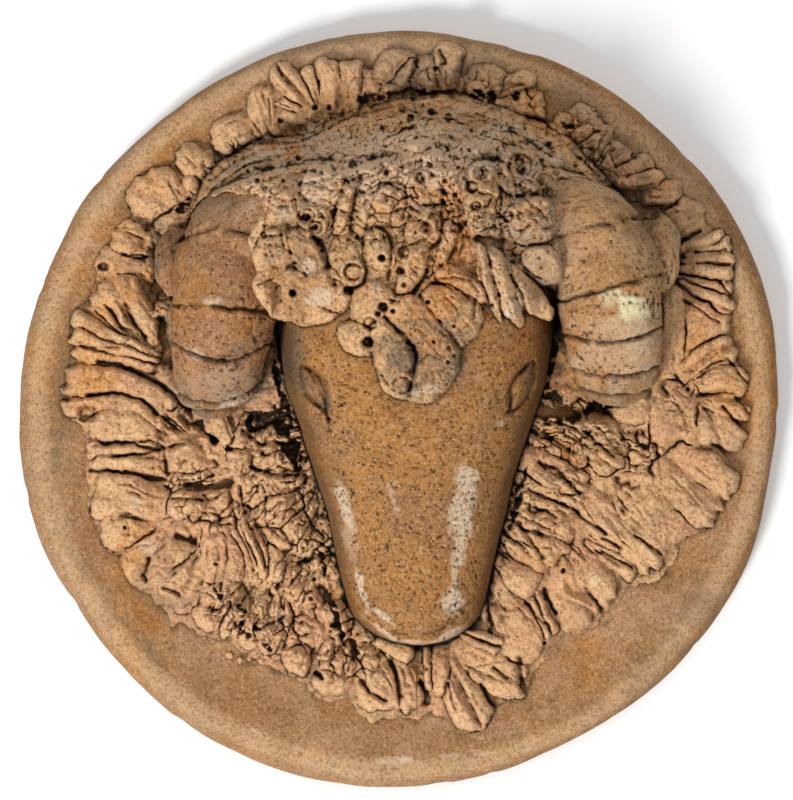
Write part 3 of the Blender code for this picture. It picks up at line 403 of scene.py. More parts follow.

# The clays' colours from 0 to 255: main, second and warm colour, then the strength of the olive clouds, the
# grime and painted shade in the hollows and the dark specks
CLAYS = {
    "slab_clay": ((160, 116, 74), (172, 132, 96), (176, 118, 58), 0.15, 0.70, 0.4),
    "fleece_clay": ((215, 170, 124), (208, 156, 116), (210, 148, 84), 0.30, 0.96, 0.6),
    "face_clay": ((168, 116, 61), (158, 112, 70), (172, 115, 54), 0.10, 0.90, 1.0),
    "forelock_clay": ((208, 162, 114), (196, 144, 98), (196, 130, 70), 0.55, 0.96, 0.9),
    "left_horn_clay": ((164, 117, 80), (154, 112, 80), (168, 112, 58), 0.15, 0.95, 1.0),
    "right_horn_clay": ((194, 158, 118), (190, 144, 98), (172, 120, 70), 0.35, 0.95, 1.0),
}
OLIVE = (124, 106, 76)
LIGHT = (212, 174, 130)
SHADE = (110, 76, 46)
# Rubbed wear, also a painted highlight on raised places
WORN_AND_HIGHLIGHT = (226, 188, 146)
# Dark wash in sunk places, also painted shade there
SUNK = (72, 60, 44)
GROG = (84, 56, 32)
# Smoke and grime, and painted shade where the grey marks stand for shadow
SMOKE_AND_SHADE = (110, 99, 82)
# Pale slip and scrapes, and painted light over the crown
SLIP_AND_LIGHT = (216, 194, 168)
YELLOW = (226, 214, 172)
SPECK = (46, 31, 20)
# Grime in the hollows, also used as painted shade in crevices and beside the tall head and horns
GRIME_AND_SHADE = (24, 19, 12)
CLAY_SPECULAR = 0.12
CLAY_GRAIN = 0.0008

# The studio: shades, distances in metres, and each light's name, place, size and power
WALL_COLOUR = (0.93, 0.93, 0.93, 1)
WALL_GAP = 0.0006
FLOOR_COLOUR = (0.86, 0.86, 0.86, 1)
FLOOR_BELOW = 1.40
WORLD_COLOUR = (1.0, 0.99, 0.975, 1)
WORLD_STRENGTH = 0.38
LIGHTS = (
    ("key", (-0.78, -1.15, -1.05), 0.36, 27),
    ("fill", (0.1, -1.2, 0.8), 1.0, 7),
    ("back", (0.5, 1.1, 0.5), 0.8, 9),
)


def smooth_step(low, high, value):
    share = np.clip((value - low) / (high - low), 0, 1)
    return share * share * (3 - 2 * share)


def round_end(distance, rounding):
    """The share of its full size that a rounded end has this far from its tip."""
    share = np.clip(distance / rounding, 0, 1)
    return np.sqrt(np.clip(1 - (1 - share) ** 2, 0, 1))


def dome(out, squareness):
    """The height of a flattened dome, 1 in the middle and 0 at its edge, where out is 1."""
    return (1 - np.clip(np.abs(out), 0, 1) ** squareness) ** (1 / squareness)


def scramble(seed, cells):
    """A number from 0 to 1 for each whole-numbered cell."""
    factors = (374761393, 668265263, 2246822519)
    mixed = np.full(cells[0].shape, (seed * 2654435761) % 2**32, dtype=np.uint64)
    for cell, factor in zip(cells, factors):
        turned = (cell.astype(np.int64) & 0xFFFFFFFF).astype(np.uint64)
        mixed = ((mixed ^ turned) * np.uint64(factor)) & np.uint64(0xFFFFFFFF)
        mixed = mixed ^ (mixed >> np.uint64(15))
    mixed = (mixed * np.uint64(2654435761)) & np.uint64(0xFFFFFFFF)
    mixed = mixed ^ (mixed >> np.uint64(13))
    return (mixed & np.uint64(0xFFFF)).astype(float) / 0xFFFF


def noise(seed, size, *places):
    """Smooth noise from -1 to 1 with lumps of about this size, in two or three dimensions."""
    cells, shares = [], []
    for place in places:
        scaled = np.asarray(place) / size
        cell = np.floor(scaled)
        share = scaled - cell
        cells.append(cell)
        shares.append(share * share * share * (share * (share * 6 - 15) + 10))
    total = 0
    for corner in range(2 ** len(places)):
        weight = 1
        corner_cells = []
        for axis, (cell, share) in enumerate(zip(cells, shares)):
            ahead = corner >> axis & 1
            corner_cells.append(cell + ahead)
            weight = weight * (share if ahead else 1 - share)
        total = total + weight * scramble(seed, corner_cells)
    return total * 2 - 1


def rough(seed, size, octaves, *places):
    """Noise with finer and weaker noise over it."""
    return sum(noise(seed + n, size / 2**n, *places) / 2**n for n in range(octaves))


def creases(seed, size, *places):
    """1 along winding lines, falling off to 0 beside them."""
    return 1 - np.clip(np.abs(noise(seed, size, *places)) * 4, 0, 1)


def lumps(seed, size, u, v):
    """Crumbs of about this size: 1 at the middle of each, and the share of the way to the gap beside it."""
    cell_u, cell_v = np.floor(u / size), np.floor(v / size)
    nearest = np.full(u.shape, 9.0)
    second = np.full(u.shape, 9.0)
    for down in (-1, 0, 1):
        for across in (-1, 0, 1):
            at = (cell_u + across, cell_v + down)
            away = np.hypot(u / size - at[0] - scramble(seed, at), v / size - at[1] - scramble(seed + 1, at))
            second = np.minimum(second, np.maximum(nearest, away))
            nearest = np.minimum(nearest, away)
    return 1 - nearest, second - nearest


def placed(u, v, height):
    """Where points of the drawing lie at these heights over the wall."""
    pitch = (DRAWN_FROM - height) / DRAWN_FOCUS
    x = (u - DRAWN_VIEWPOINT[0]) * pitch + ACROSS
    z = (DRAWN_VIEWPOINT[1] - v) * pitch + UP
    return x, -height, z


def drawn(x, y, z):
    """Where points of the plaque are drawn."""
    pitch = (DRAWN_FROM + y) / DRAWN_FOCUS
    return (x - ACROSS) / pitch + DRAWN_VIEWPOINT[0], DRAWN_VIEWPOINT[1] - (z - UP) / pitch


def outline(bearing):
    """Distance of the hand-cut edge from the plaque's centre at a bearing in radians."""
    swell = sum(
        height * np.cos(waves * (bearing - math.radians(crest)))
        for waves, height, crest in OUTLINE_WAVES
    )
    return PLAQUE_WIDTH / 2 + swell


def slab_front(x, z):
    """Height of the slab's front over the wall."""
    inwards = outline(np.arctan2(z, x)) - np.hypot(x, z)
    rise = RIM_RISE * smooth_step(RIM_BAND, RIM_ROUNDING, inwards)
    return SLAB_THICKNESS + rise - RIM_ROUNDING * (1 - round_end(inwards, RIM_ROUNDING))


def window_round(points, margin):
    """The part of the grid that lies within a margin of some places."""
    us, vs = zip(*points)
    rows, columns = GRID_U.shape
    left = int(np.clip((min(us) - margin - GRID_LEFT) / STEP, 0, columns))
    right = int(np.clip((max(us) + margin - GRID_LEFT) / STEP + 1, 0, columns))
    top = int(np.clip((min(vs) - margin - GRID_TOP) / STEP, 0, rows))
    bottom = int(np.clip((max(vs) + margin - GRID_TOP) / STEP + 1, 0, rows))
    return slice(top, bottom), slice(left, right)


def blurred(raster, reach):
    """The raster smoothed over this many squares."""
    down = np.fft.fftfreq(raster.shape[0])[:, None]
    across = np.fft.rfftfreq(raster.shape[1])[None, :]
    fade = np.exp(-2 * (math.pi * reach / STEP) ** 2 * (down**2 + across**2))
    return np.fft.irfft2(np.fft.rfft2(raster) * fade, raster.shape)


def spread(raster, steps, chosen=np.maximum):
    """A raster whose high places, or low ones with np.minimum, have grown by some steps."""
    for _ in range(steps):
        for axis in (0, 1):
            raster = chosen(raster, chosen(np.roll(raster, 1, axis), np.roll(raster, -1, axis)))
    return raster


def from_line(u, v, points):
    """Distance from a line through some points, in squares."""
    nearest = np.full(u.shape, np.inf)
    for (u0, v0), (u1, v1) in zip(points, points[1:]):
        length = math.hypot(u1 - u0, v1 - v0)
        share = np.clip(((u - u0) * (u1 - u0) + (v - v0) * (v1 - v0)) / length**2, 0, 1)
        nearest = np.minimum(nearest, np.hypot(u - u0 - share * (u1 - u0), v - v0 - share * (v1 - v0)))
    return nearest


def across_and_along(u, v, middle_u, middle_v, bearing):
    """Places measured along a bearing in degrees, anticlockwise from the right, and across it."""
    turned = math.radians(bearing)
    along = (u - middle_u) * math.cos(turned) - (v - middle_v) * math.sin(turned)
    across = (u - middle_u) * math.sin(turned) + (v - middle_v) * math.cos(turned)
    return across, along


def cut_cracks(height, cracks, u, v):
    for width, depth, *points in cracks:
        near = window_round(points, width * 4)
        distance = from_line(u[near], v[near], points)
        height[near] -= depth * MM * np.exp(-((distance / width) ** 2))


def cut_holes(height, holes, u, v):
    for middle_u, middle_v, radius, depth in holes:
        near = window_round([(middle_u, middle_v)], radius * 3)
        out = np.hypot(u[near] - middle_u, v[near] - middle_v) / radius
        height[near] -= depth * MM * (1 - smooth_step(0.6, 1.2, out))
        height[near] += 0.25 * MM * np.exp(-(((out - 1.5) / 0.3) ** 2))


def prick(height, chance, count, box, radii, depth):
    """Scatters small pits over a box of the drawing."""
    for _ in range(count):
        middle_u = chance.uniform(box[0], box[2])
        middle_v = chance.uniform(box[1], box[3])
        radius = chance.uniform(*radii)
        near = window_round([(middle_u, middle_v)], radius * 2 + STEP)
        out = np.hypot(GRID_U[near] - middle_u, GRID_V[near] - middle_v) / radius
        height[near] -= chance.uniform(0.5, 1) * depth * MM * np.exp(-(out**2) * 1.4)


def pressed(first, second, softness):
    """The higher of two surfaces, with the clay smoothed over where they cross."""
    share = np.clip(0.5 + 0.5 * (second - first) / softness, 0, 1)
    return first + (second - first) * share + softness * share * (1 - share)


def lay(surface, near, height, softness):
    """Lays clay on a surface, which keeps its own height and the highest that is covered."""
    top, under = surface
    under[near] = np.maximum(under[near], np.minimum(top[near], height))
    top[near] = pressed(top[near], height, softness[near])


def joined_up(surface, reach, gap, depth, seed):
    """Fills narrow gaps, then opens a crack here and there where one lump meets another."""
    top, under = surface
    top = pressed(top, blurred(top, reach) - gap, np.full(top.shape, 1.0 * MM))
    meeting = np.exp(-(((surface[0] - under) / (0.9 * MM)) ** 2))
    here = smooth_step(-0.35, 0.45, rough(seed, 26, 2, GRID_U, GRID_V))
    return top - depth * meeting * (0.12 + 0.88 * here)


def inside(points, u, v):
    """Whether each place lies inside a closed outline."""
    within = np.zeros(u.shape, bool)
    for (u0, v0), (u1, v1) in zip(points, points[1:] + points[:1]):
        if v0 != v1:
            crossed = (v0 > v) != (v1 > v)
            within ^= crossed & (u < u0 + (v - v0) * (u1 - u0) / (v1 - v0))
    return within


def wandered(seed, amounts):
    """The grid's places, shifted a little each way so that straight edges look hand-pressed."""
    shift_u = sum(amount * noise(seed + n, size, GRID_U, GRID_V) for n, (size, amount) in enumerate(amounts))
    shift_v = sum(
        amount * noise(seed + 20 + n, size, GRID_U, GRID_V) for n, (size, amount) in enumerate(amounts)
    )
    return GRID_U + shift_u, GRID_V + shift_v


def bent(seed, size, u, v):
    """Places shifted further, so that the crumbs and the gaps between them aren't straight."""
    return (
        u + 5 * noise(seed, size, u, v) + 2 * noise(seed + 1, 6, u, v),
        v + 5 * noise(seed + 2, size, u, v) + 2 * noise(seed + 3, 6, u, v),
    )


def lay_tongue(surface, tongue, floor, number, chance, u, v, softness):
    """A tongue of clay pressed down at its root, creased lengthwise and blunt at its tip."""
    root_u, root_v, tip_u, tip_v, width, pleats, bow = (*tongue, 1, 0)[:7]
    length = math.hypot(tip_u - root_u, tip_v - root_v)
    ahead_u, ahead_v = (tip_u - root_u) / length, (tip_v - root_v) / length
    near = window_round([(root_u, root_v), (tip_u, tip_v)], width)
    u, v = u[near], v[near]
    along = ((u - root_u) * ahead_u + (v - root_v) * ahead_v) / length
    across = (v - root_v) * ahead_u - (u - root_u) * ahead_v
    across = across - bow * np.sin(math.pi * np.clip(along, 0, 1))
    half_width = width / 2 * (0.76 + 0.34 * smooth_step(0, 0.6, along)) * 1.10
    side = across / half_width
    ragged = 0.05 * noise(900 + number, 7, across, along * 0)
    tip = round_end(1.03 + ragged - along, min(0.45, 0.75 * half_width.max() / length))
    body = dome(side / np.maximum(tip, 0.01), 3.2) * tip ** 0.8 * smooth_step(-0.2, 0.05, along)
    body = body * (along < 1.03 + ragged)
    groove = 0
    for pleat in range(1, pleats):
        between = 2 * pleat / pleats - 1
        groove = groove + np.exp(-(((side - between) * pleats / 0.35) ** 2)) * smooth_step(0.05, 0.3, along)
    height = TONGUE_HEIGHT * chance.uniform(0.80, 1.15)
    rise = height * (0.62 + 0.38 * smooth_step(0, 0.5, along)) * body * (1 - 0.45 * groove)
    detail = 0.55 * MM * noise(300 + number, 1, across / 11, along * length / 30)
    detail = detail + 0.35 * MM * noise(500 + number, 1, across / 4, along * length / 14)
    detail = detail + chance.uniform(-1.5, 1.5) * MM * side
    for _ in range(int(width / 12)):
        middle = chance.uniform(-0.75, 0.75)
        start = chance.uniform(-0.1, 0.55)
        end = start + chance.uniform(0.25, 0.7)
        turn = chance.uniform(-0.5, 0.5)
        deep = chance.uniform(0.6, 2.0) * MM
        sharp = chance.uniform(0.8, 1.5)
        away = across - (middle + turn * (along - start)) * half_width
        shown = smooth_step(start, start + 0.12, along) * smooth_step(end, end - 0.15, along)
        detail = detail - deep * shown * np.exp(-((away / sharp) ** 2))
    lay(surface, near, floor + rise + detail * smooth_step(0, 0.5, body), softness)


def ovals(places, u, v, edge, core, ragged=0):
    """How strongly oval places show, from 0 at their edge to their strength at their core."""
    shown = np.zeros(u.shape)
    for middle_u, middle_v, half_length, half_width, bearing, strength in places:
        across, along = across_and_along(u, v, middle_u, middle_v, bearing)
        out = np.hypot(across / half_width, along / half_length) + ragged
        shown = np.maximum(shown, strength * smooth_step(edge, core, out))
    return shown


def fleece_heights():
    """The fleece over the wall, and how dark its deep places are painted, as grime and shade, from 0 to 1.
    """
    chance = random.Random(SEED)
    u, v = wandered(40, ((40, 4.5), (13, 1.0), (4.5, 0.7)))
    softness = MM * (0.4 + 2.2 * smooth_step(-0.2, 0.6, noise(60, 40, GRID_U, GRID_V)))
    surface = [np.full(GRID_U.shape, SLAB_THICKNESS - 3 * MM) for _ in range(2)]
    reach = np.hypot(GRID_U - FLEECE_MIDDLE[0], GRID_V - FLEECE_MIDDLE[1])
    bed = SLAB_THICKNESS + 5.5 * MM - 9 * MM * smooth_step(252, 290, reach + 8 * noise(59, 30, u, v))
    bed = bed + 1.7 * MM * rough(61, 16, 3, GRID_U, GRID_V)
    lay(surface, (slice(None), slice(None)), bed, softness)
    number = 0
    for tongues, lift in ((OUTER_TONGUES, 0.2), (INNER_TONGUES, 0.6)):
        for tongue in tongues:
            floor = SLAB_THICKNESS + FLEECE_BED * lift - 1 * MM
            lay_tongue(surface, tongue, floor, number, chance, u, v, softness)
            number += 1
    opened = 3.4 * MM * smooth_step(SLAB_THICKNESS, SLAB_THICKNESS + 4 * MM, surface[0])
    top = joined_up(surface, 7, 0.9 * MM, opened, 64)
    torn = ovals(CRUMBLY_PLACES, GRID_U, GRID_V, 1.3, 0.4)
    bent_u, bent_v = bent(62, 15, u, v)
    out_u, out_v = bent_u - FLEECE_MIDDLE[0], bent_v - FLEECE_MIDDLE[1]
    crumb, gap = lumps(66, 1, np.arctan2(out_v, out_u) * 22, np.hypot(out_u, out_v) / 19)
    small, small_gap = lumps(68, 6.5, bent_u, bent_v)
    broken = smooth_step(-0.35, 0.3, noise(70, 17, u, v))
    top = top + torn * MM * (3.4 * (crumb - 0.6) + 1.4 * (small - 0.6) + 1.2 * rough(71, 18, 2, u, v))
    top = top - torn * MM * 3.0 * smooth_step(0.16, 0.02, gap) * broken
    top = top - torn * MM * 1.0 * smooth_step(0.16, 0.04, small_gap) * (1 - 0.7 * broken)
    cut_cracks(top, FLEECE_CRACKS, u, v)
    cut_holes(top, FLEECE_HOLES, u, v)
    wrinkle = creases(71, 24, u, v) * smooth_step(0.0, 0.6, noise(72, 60, u, v))
    top = top - 1.1 * MM * wrinkle**3
    top = top + 0.34 * MM * rough(73, 6, 2, GRID_U, GRID_V) + 0.5 * MM * rough(75, 16, 2, u, v)
    prick(top, chance, 2600, (60, 40, 750, 725), (0.9, 1.7), 0.9)
    flecks = rough(140, 7, 3, bent_u, bent_v)
    # Grime and painted shade in the listed deep places, which are also cut 3 mm deeper below
    dark = smooth_step(0.38, 0.60, marked(DARK_PLACES, u, v) * (0.80 + 0.65 * flecks))
    return top - 3.0 * MM * dark, dark


def head_section(v):
    """The head's left and right edge and its height over the slab at places down the drawing."""
    stations, lefts, rights, rises = np.array(HEAD_LINES).T
    return np.interp(v, stations, lefts), np.interp(v, stations, rights), np.interp(v, stations, rises) * MM


def head_heights():
    """The face over the wall, from crown to muzzle, its finer relief and the incised lines of its eyes."""
    left, right, rise = head_section(GRID_V)
    out = (GRID_U - (left + right) / 2) / ((right - left) / 2)
    within = (np.abs(out) < 1) & (GRID_V > HEAD_LINES[0][0]) & (GRID_V < HEAD_LINES[-1][0])
    relief = np.zeros(GRID_U.shape)
    incised = np.zeros(GRID_U.shape)
    for middle_u, middle_v, half_length, half_width, bearing in EYES:
        across, along = across_and_along(GRID_U, GRID_V, middle_u, middle_v, bearing)
        across = across + 1.0 * noise(79, 9, GRID_U, GRID_V)
        lens = np.abs(across) / half_width + (along / half_length) ** 2
        line = np.exp(-(((lens - 1) / 0.26) ** 2))
        relief += MM * (1.4 * np.exp(-((lens / 0.6) ** 2)) - 2.8 * line)
        incised = np.maximum(incised, line * (0.6 + 0.4 * noise(80, 12, GRID_U, GRID_V)))
    distance = from_line(GRID_U, GRID_V, MOUTH)
    split = (0.7 + 0.5 * noise(84, 11, GRID_U, GRID_V)) * np.exp(-((distance / 2.2) ** 2))
    relief += MM * (0.8 * np.exp(-(((distance - 5) / 2.6) ** 2)) - 2.2 * split)
    cut_cracks(relief, FACE_CRACKS, GRID_U, GRID_V)
    cut_holes(relief, FACE_HOLES, GRID_U, GRID_V)
    relief += 0.9 * MM * rough(81, 60, 2, GRID_U, GRID_V) + 0.16 * MM * rough(83, 8, 3, GRID_U, GRID_V)
    unpitted = relief.copy()
    prick(relief, random.Random(SEED + 2), 3200, (285, 330, 550, 640), (0.7, 1.4), 0.6)
    incised = np.maximum(incised, smooth_step(0.08 * MM, 0.30 * MM, unpitted - relief))
    top = SLAB_THICKNESS + np.where(within, rise * dome(out, HEAD_SQUARENESS) + relief, 0)
    return top, relief, incised


def make_face(relief, cavity):
    """The face's mesh, row by row down the drawing and from side to side over each row."""
    rows = np.concatenate((np.arange(FACE_TOP, CHIN, 1.25), np.arange(CHIN, HEAD_LINES[-1][0], 0.6)))
    turns = np.linspace(0, math.pi, 170)
    out = -np.sign(np.cos(turns)) * np.abs(np.cos(turns)) ** (2 / HEAD_SQUARENESS)
    over = np.sin(turns) ** (2 / HEAD_SQUARENESS)
    left, right, rise = head_section(rows)
    u = (left + right)[:, None] / 2 + (right - left)[:, None] / 2 * out
    v = np.repeat(rows[:, None], len(turns), axis=1)
    height = SLAB_THICKNESS + rise[:, None] * over + read_grid(relief, u, v) * smooth_step(0, 0.5, over)
    points = np.stack(placed(u, v, height), axis=-1).reshape(-1, 3)
    index = np.arange(u.size).reshape(u.shape)
    corners = np.stack((index[:-1, :-1], index[1:, :-1], index[1:, 1:], index[:-1, 1:]), axis=-1)
    # Painted shade on the face's steep sides; its hollows, eye lines and pits take grime and painted shade
    shaded_sides = 0.55 * smooth_step(0.75, 0.45, over) * np.ones(u.shape)
    shown = np.maximum(read_grid(cavity, u, v) * smooth_step(0.3, 0.7, over), shaded_sides)
    values = values_at(u.ravel(), v.ravel(), shown.ravel(), 0.5)
    return piece_from_arrays("ram_face", points, corners.reshape(-1, 4), values)


def lay_pad(surface, base, pad, number, u, v, softness):
    """A flat pad of clay pressed onto the head."""
    middle_u, middle_v, length, width, bearing, share = pad
    near = window_round([(middle_u, middle_v)], max(length, width) * 0.7)
    across, along = across_and_along(u[near], v[near], middle_u, middle_v, bearing)
    out = np.hypot(across / (width / 2), along / (length / 2))
    body = dome(out, 2.8)
    detail = 0.45 * noise(700 + number, 1, across / 6, along / 26)
    detail = detail + 0.9 * noise(800 + number, 40, across, along)
    height = base[near] + share * PAD_HEIGHT * 0.8 * body + detail * MM * smooth_step(0, 0.5, body)
    lay(surface, near, np.where(out < 1, height, 0), softness)


def lay_curl(surface, base, curl, u, v, softness):
    """A flattened roll of clay laid over the brow."""
    radius, *points = curl
    near = window_round(points, 40)
    body = dome(from_line(u[near], v[near], points) / radius, 2.6)
    lay(surface, near, base[near] + CURL_THICKNESS * 0.56 * body - 4 * MM * (body <= 0), softness)


def crown_heights(head, horns):
    """The mass of clay that runs from horn to horn behind the brow and buries their roots."""
    edge = from_line(GRID_U, GRID_V, CROWN_EDGE)
    within = inside(CROWN_EDGE + CROWN_END, GRID_U, GRID_V)
    u, v = wandered(86, ((22, 5.0), (8, 2.0)))
    height = SLAB_THICKNESS + 3 * MM + 44 * MM * np.sin(math.pi / 2 * np.clip(edge / 100, 0, 1)) ** 0.75
    over_horn = np.zeros(GRID_U.shape)
    for points in (OVER_LEFT_HORN, OVER_RIGHT_HORN):
        border = from_line(u, v, points + points[:1])
        covered = horns + 2.8 * MM * round_end(border, 11) - 0.4 * MM
        over_horn = np.maximum(over_horn, np.where(inside(points, u, v), covered, 0))
    bare = (horns > SLAB_THICKNESS) & (over_horn == 0)
    height = height + (head - 2 * MM - height) * smooth_step(205, 265, GRID_V)
    height = np.where(bare, np.minimum(height, horns - 2.5 * MM), np.maximum(height, over_horn))
    return np.where(within, height, SLAB_THICKNESS - 4 * MM), edge, within


def forelock_heights(head, horns):
    """The mass of pads, curls, strata and stamped marks over the brow."""
    chance = random.Random(SEED + 1)
    u, v = wandered(90, ((30, 2.6), (12, 1.8), (5, 0.9)))
    softness = MM * (0.4 + 1.6 * smooth_step(-0.2, 0.6, noise(89, 34, GRID_U, GRID_V)))
    surface = [head - 3 * MM, head - 3 * MM]
    crown, edge, in_crown = crown_heights(head, horns)
    lay(surface, (slice(None), slice(None)), crown, softness)
    base = np.maximum(head, np.where(in_crown, crown, 0))
    gaps_filled = spread(spread(np.maximum(base, horns), 9), 9, np.minimum)
    bridged = blurred(gaps_filled, 3) + 0.5 * MM
    beside = (np.abs(GRID_U - 418) < 170) & (GRID_V < 345)
    base = np.where(beside, np.maximum(base, np.minimum(bridged, SLAB_THICKNESS + 44 * MM)), base)
    for number, pad in enumerate(FORELOCK):
        lay_pad(surface, base, pad, number, u, v, softness)
    for curl in CURLS:
        lay_curl(surface, head, curl, u, v, softness)
    lifted = smooth_step(-1 * MM, 1.5 * MM, surface[0] - head)
    top = joined_up(surface, 5, 1.6 * MM, 1.8 * MM * lifted, 94)
    behind = in_crown * smooth_step(100, 55, edge)
    strata = noise(95, 1, GRID_U / 46, edge / 6) + 0.6 * noise(96, 1, GRID_U / 22, edge / 3)
    splits = creases(100, 1, u / 55, edge / 11) ** 4 * smooth_step(-0.3, 0.3, noise(101, 30, u, v))
    top = top + behind * MM * (1.2 * strata - 2.2 * splits)
    winding = creases(97, 17, u, v) ** 3 + 0.5 * creases(98, 9, u, v) ** 3
    busy = 0.36 + 0.64 * smooth_step(290, 215, GRID_V + 0.25 * np.abs(GRID_U - 470))
    top = top - busy * 1.2 * MM * winding * smooth_step(0.0, 0.6, noise(99, 40, u, v)) * lifted
    bent_u, bent_v = bent(102, 14, u, v)
    crumb, gap = lumps(106, 1, bent_u / 22, bent_v / 13)
    small, small_gap = lumps(108, 1, bent_u / 9, bent_v / 7)
    broken = smooth_step(-0.2, 0.5, noise(110, 18, u, v))
    busy_depth = busy * lifted * MM
    top = top + busy_depth * (2.6 * (crumb - 0.5) + 1.2 * (small - 0.5) + 1.1 * rough(113, 30, 2, u, v))
    top = top - busy_depth * 2.0 * (1 - 0.5 * behind) * smooth_step(0.11, 0.02, gap) * broken
    top = top - busy_depth * 1.0 * smooth_step(0.12, 0.03, small_gap) * (1 - broken) ** 2
    cut_cracks(top, FORELOCK_CRACKS, GRID_U, GRID_V)
    for middle_u, middle_v, radius in TUBE_MARKS:
        near = window_round([(middle_u, middle_v)], radius * 2)
        away = np.hypot(GRID_U[near] - middle_u, GRID_V[near] - middle_v)
        top[near] -= 1.2 * MM * smooth_step(radius + 1, radius - 1, away)
        top[near] -= 1.3 * MM * np.exp(-(((away - radius) / 1.4) ** 2))
        top[near] += 1.0 * MM * np.exp(-(((away - radius - 3) / 1.8) ** 2))
    cut_holes(top, FORELOCK_HOLES, GRID_U, GRID_V)
    top = top + 0.38 * MM * rough(112, 6, 2, GRID_U, GRID_V) * (1 + 0.5 * busy) * lifted
    prick(top, chance, 1700, (190, 92, 630, 400), (0.9, 1.9), 1.0)
    prick(top, chance, 420, (190, 92, 600, 270), (1.8, 3.2), 1.8)
    return top


def piece_from_grid(name, height, shown, values):
    """A mesh piece of the grid's cells whose four corners are shown."""
    cells = shown[:-1, :-1] & shown[1:, :-1] & shown[:-1, 1:] & shown[1:, 1:]
    used = np.zeros(shown.shape, bool)
    for down in (0, 1):
        for across in (0, 1):
            used[down : down + cells.shape[0], across : across + cells.shape[1]] |= cells
    index = np.full(shown.shape, -1)
    index[used] = np.arange(used.sum())
    corners = np.stack(
        [index[:-1, :-1][cells], index[1:, :-1][cells], index[1:, 1:][cells], index[:-1, 1:][cells]], axis=1
    )
    points = np.stack(placed(GRID_U[used], GRID_V[used], height[used]), axis=1)
    return piece_from_arrays(name, points, corners, {key: value[used] for key, value in values.items()})


def piece_from_arrays(name, points, corners, values):
    """A smooth mesh piece with some values kept at its points."""
    mesh = bpy.data.meshes.new(name)
    mesh.vertices.add(len(points))
    mesh.vertices.foreach_set("co", points.astype(np.float32).ravel())
    mesh.loops.add(corners.size)
    mesh.loops.foreach_set("vertex_index", corners.astype(np.int32).ravel())
    mesh.polygons.add(len(corners))
    mesh.polygons.foreach_set("loop_start", np.arange(0, corners.size, 4, dtype=np.int32))
    mesh.update(calc_edges=True)
    mesh.validate()
    mesh.shade_smooth()
    for key, value in values.items():
        kept = mesh.attributes.new(key, "FLOAT", "POINT")
        kept.data.foreach_set("value", np.ascontiguousarray(value, dtype=np.float32))
    piece = bpy.data.objects.new(name, mesh)
    bpy.context.scene.collection.objects.link(piece)
    return piece


def read_grid(raster, u, v):
    """The raster's values at places of the drawing."""
    column = np.clip((u - GRID_LEFT) / STEP, 0, raster.shape[1] - 1.001)
    row = np.clip((v - GRID_TOP) / STEP, 0, raster.shape[0] - 1.001)
    left, top = column.astype(int), row.astype(int)
    right_share, down_share = column - left, row - top
    upper = raster[top, left] * (1 - right_share) + raster[top, left + 1] * right_share
    lower = raster[top + 1, left] * (1 - right_share) + raster[top + 1, left + 1] * right_share
    return upper * (1 - down_share) + lower * down_share


def marked(marks, u, v):
    """How strongly ragged oval marks show at places of the drawing, from 0 to 1."""
    return ovals(marks, u, v, 1.25, 0.55, 0.45 * rough(120, 14, 3, u, v))


def values_at(u, v, cavity, relief, facing=1):
    """The values that the clay's finish reads, at places of the drawing."""
    return {
        "cavity": cavity,
        "relief": relief + 0 * u,
        "pale": marked(PALE_MARKS, u, v) * facing,
        "yellow": marked(YELLOW_MARKS, u, v) * facing,
        "grey": marked(GREY_MARKS, u, v) * facing,
    }


def horn_line(side):
    """One horn's centre line, its radius and the directions across and out of it, station by station."""
    stations, outs, thicks, coils = np.array(HORN_COURSE).T
    turns = np.concatenate(
        (np.arange(stations[0], 30, 2.4), np.arange(30, 165, 0.8), np.arange(165, stations[-1] + 1, 2.1))
    )
    angle = np.radians(turns)
    reached = 1 + (HORN_TIP_REACH[side > 0] - 1) * smooth_step(250, 340, turns)
    coil = np.interp(turns, stations, coils) * HORN_COIL * reached
    out = HORN_SPACING / 2 + np.interp(turns, stations, outs) * HORN_THICKNESS
    radius = np.interp(turns, stations, thicks) * HORN_THICKNESS / 2
    drop = HORN_DROPS[side > 0] * smooth_step(50, 150, turns) * smooth_step(330, 230, turns)
    x = HEAD_ACROSS + side * out
    z = HORN_ABOVE_CENTRE + coil * np.cos(angle) - drop
    rise = coil * np.sin(np.maximum(angle, math.radians(HORN_ROOT_TURN)))
    y = -(SLAB_THICKNESS + HORN_COIL_ABOVE_SLAB + rise)
    line = np.stack((x, y, z), axis=1)
    ahead = np.gradient(line, turns, axis=0)
    ahead /= np.linalg.norm(ahead, axis=1, keepdims=True)
    across = np.array((1.0, 0, 0)) - ahead * ahead[:, :1]
    across /= np.linalg.norm(across, axis=1, keepdims=True)
    return line, radius, across, np.cross(across, ahead)


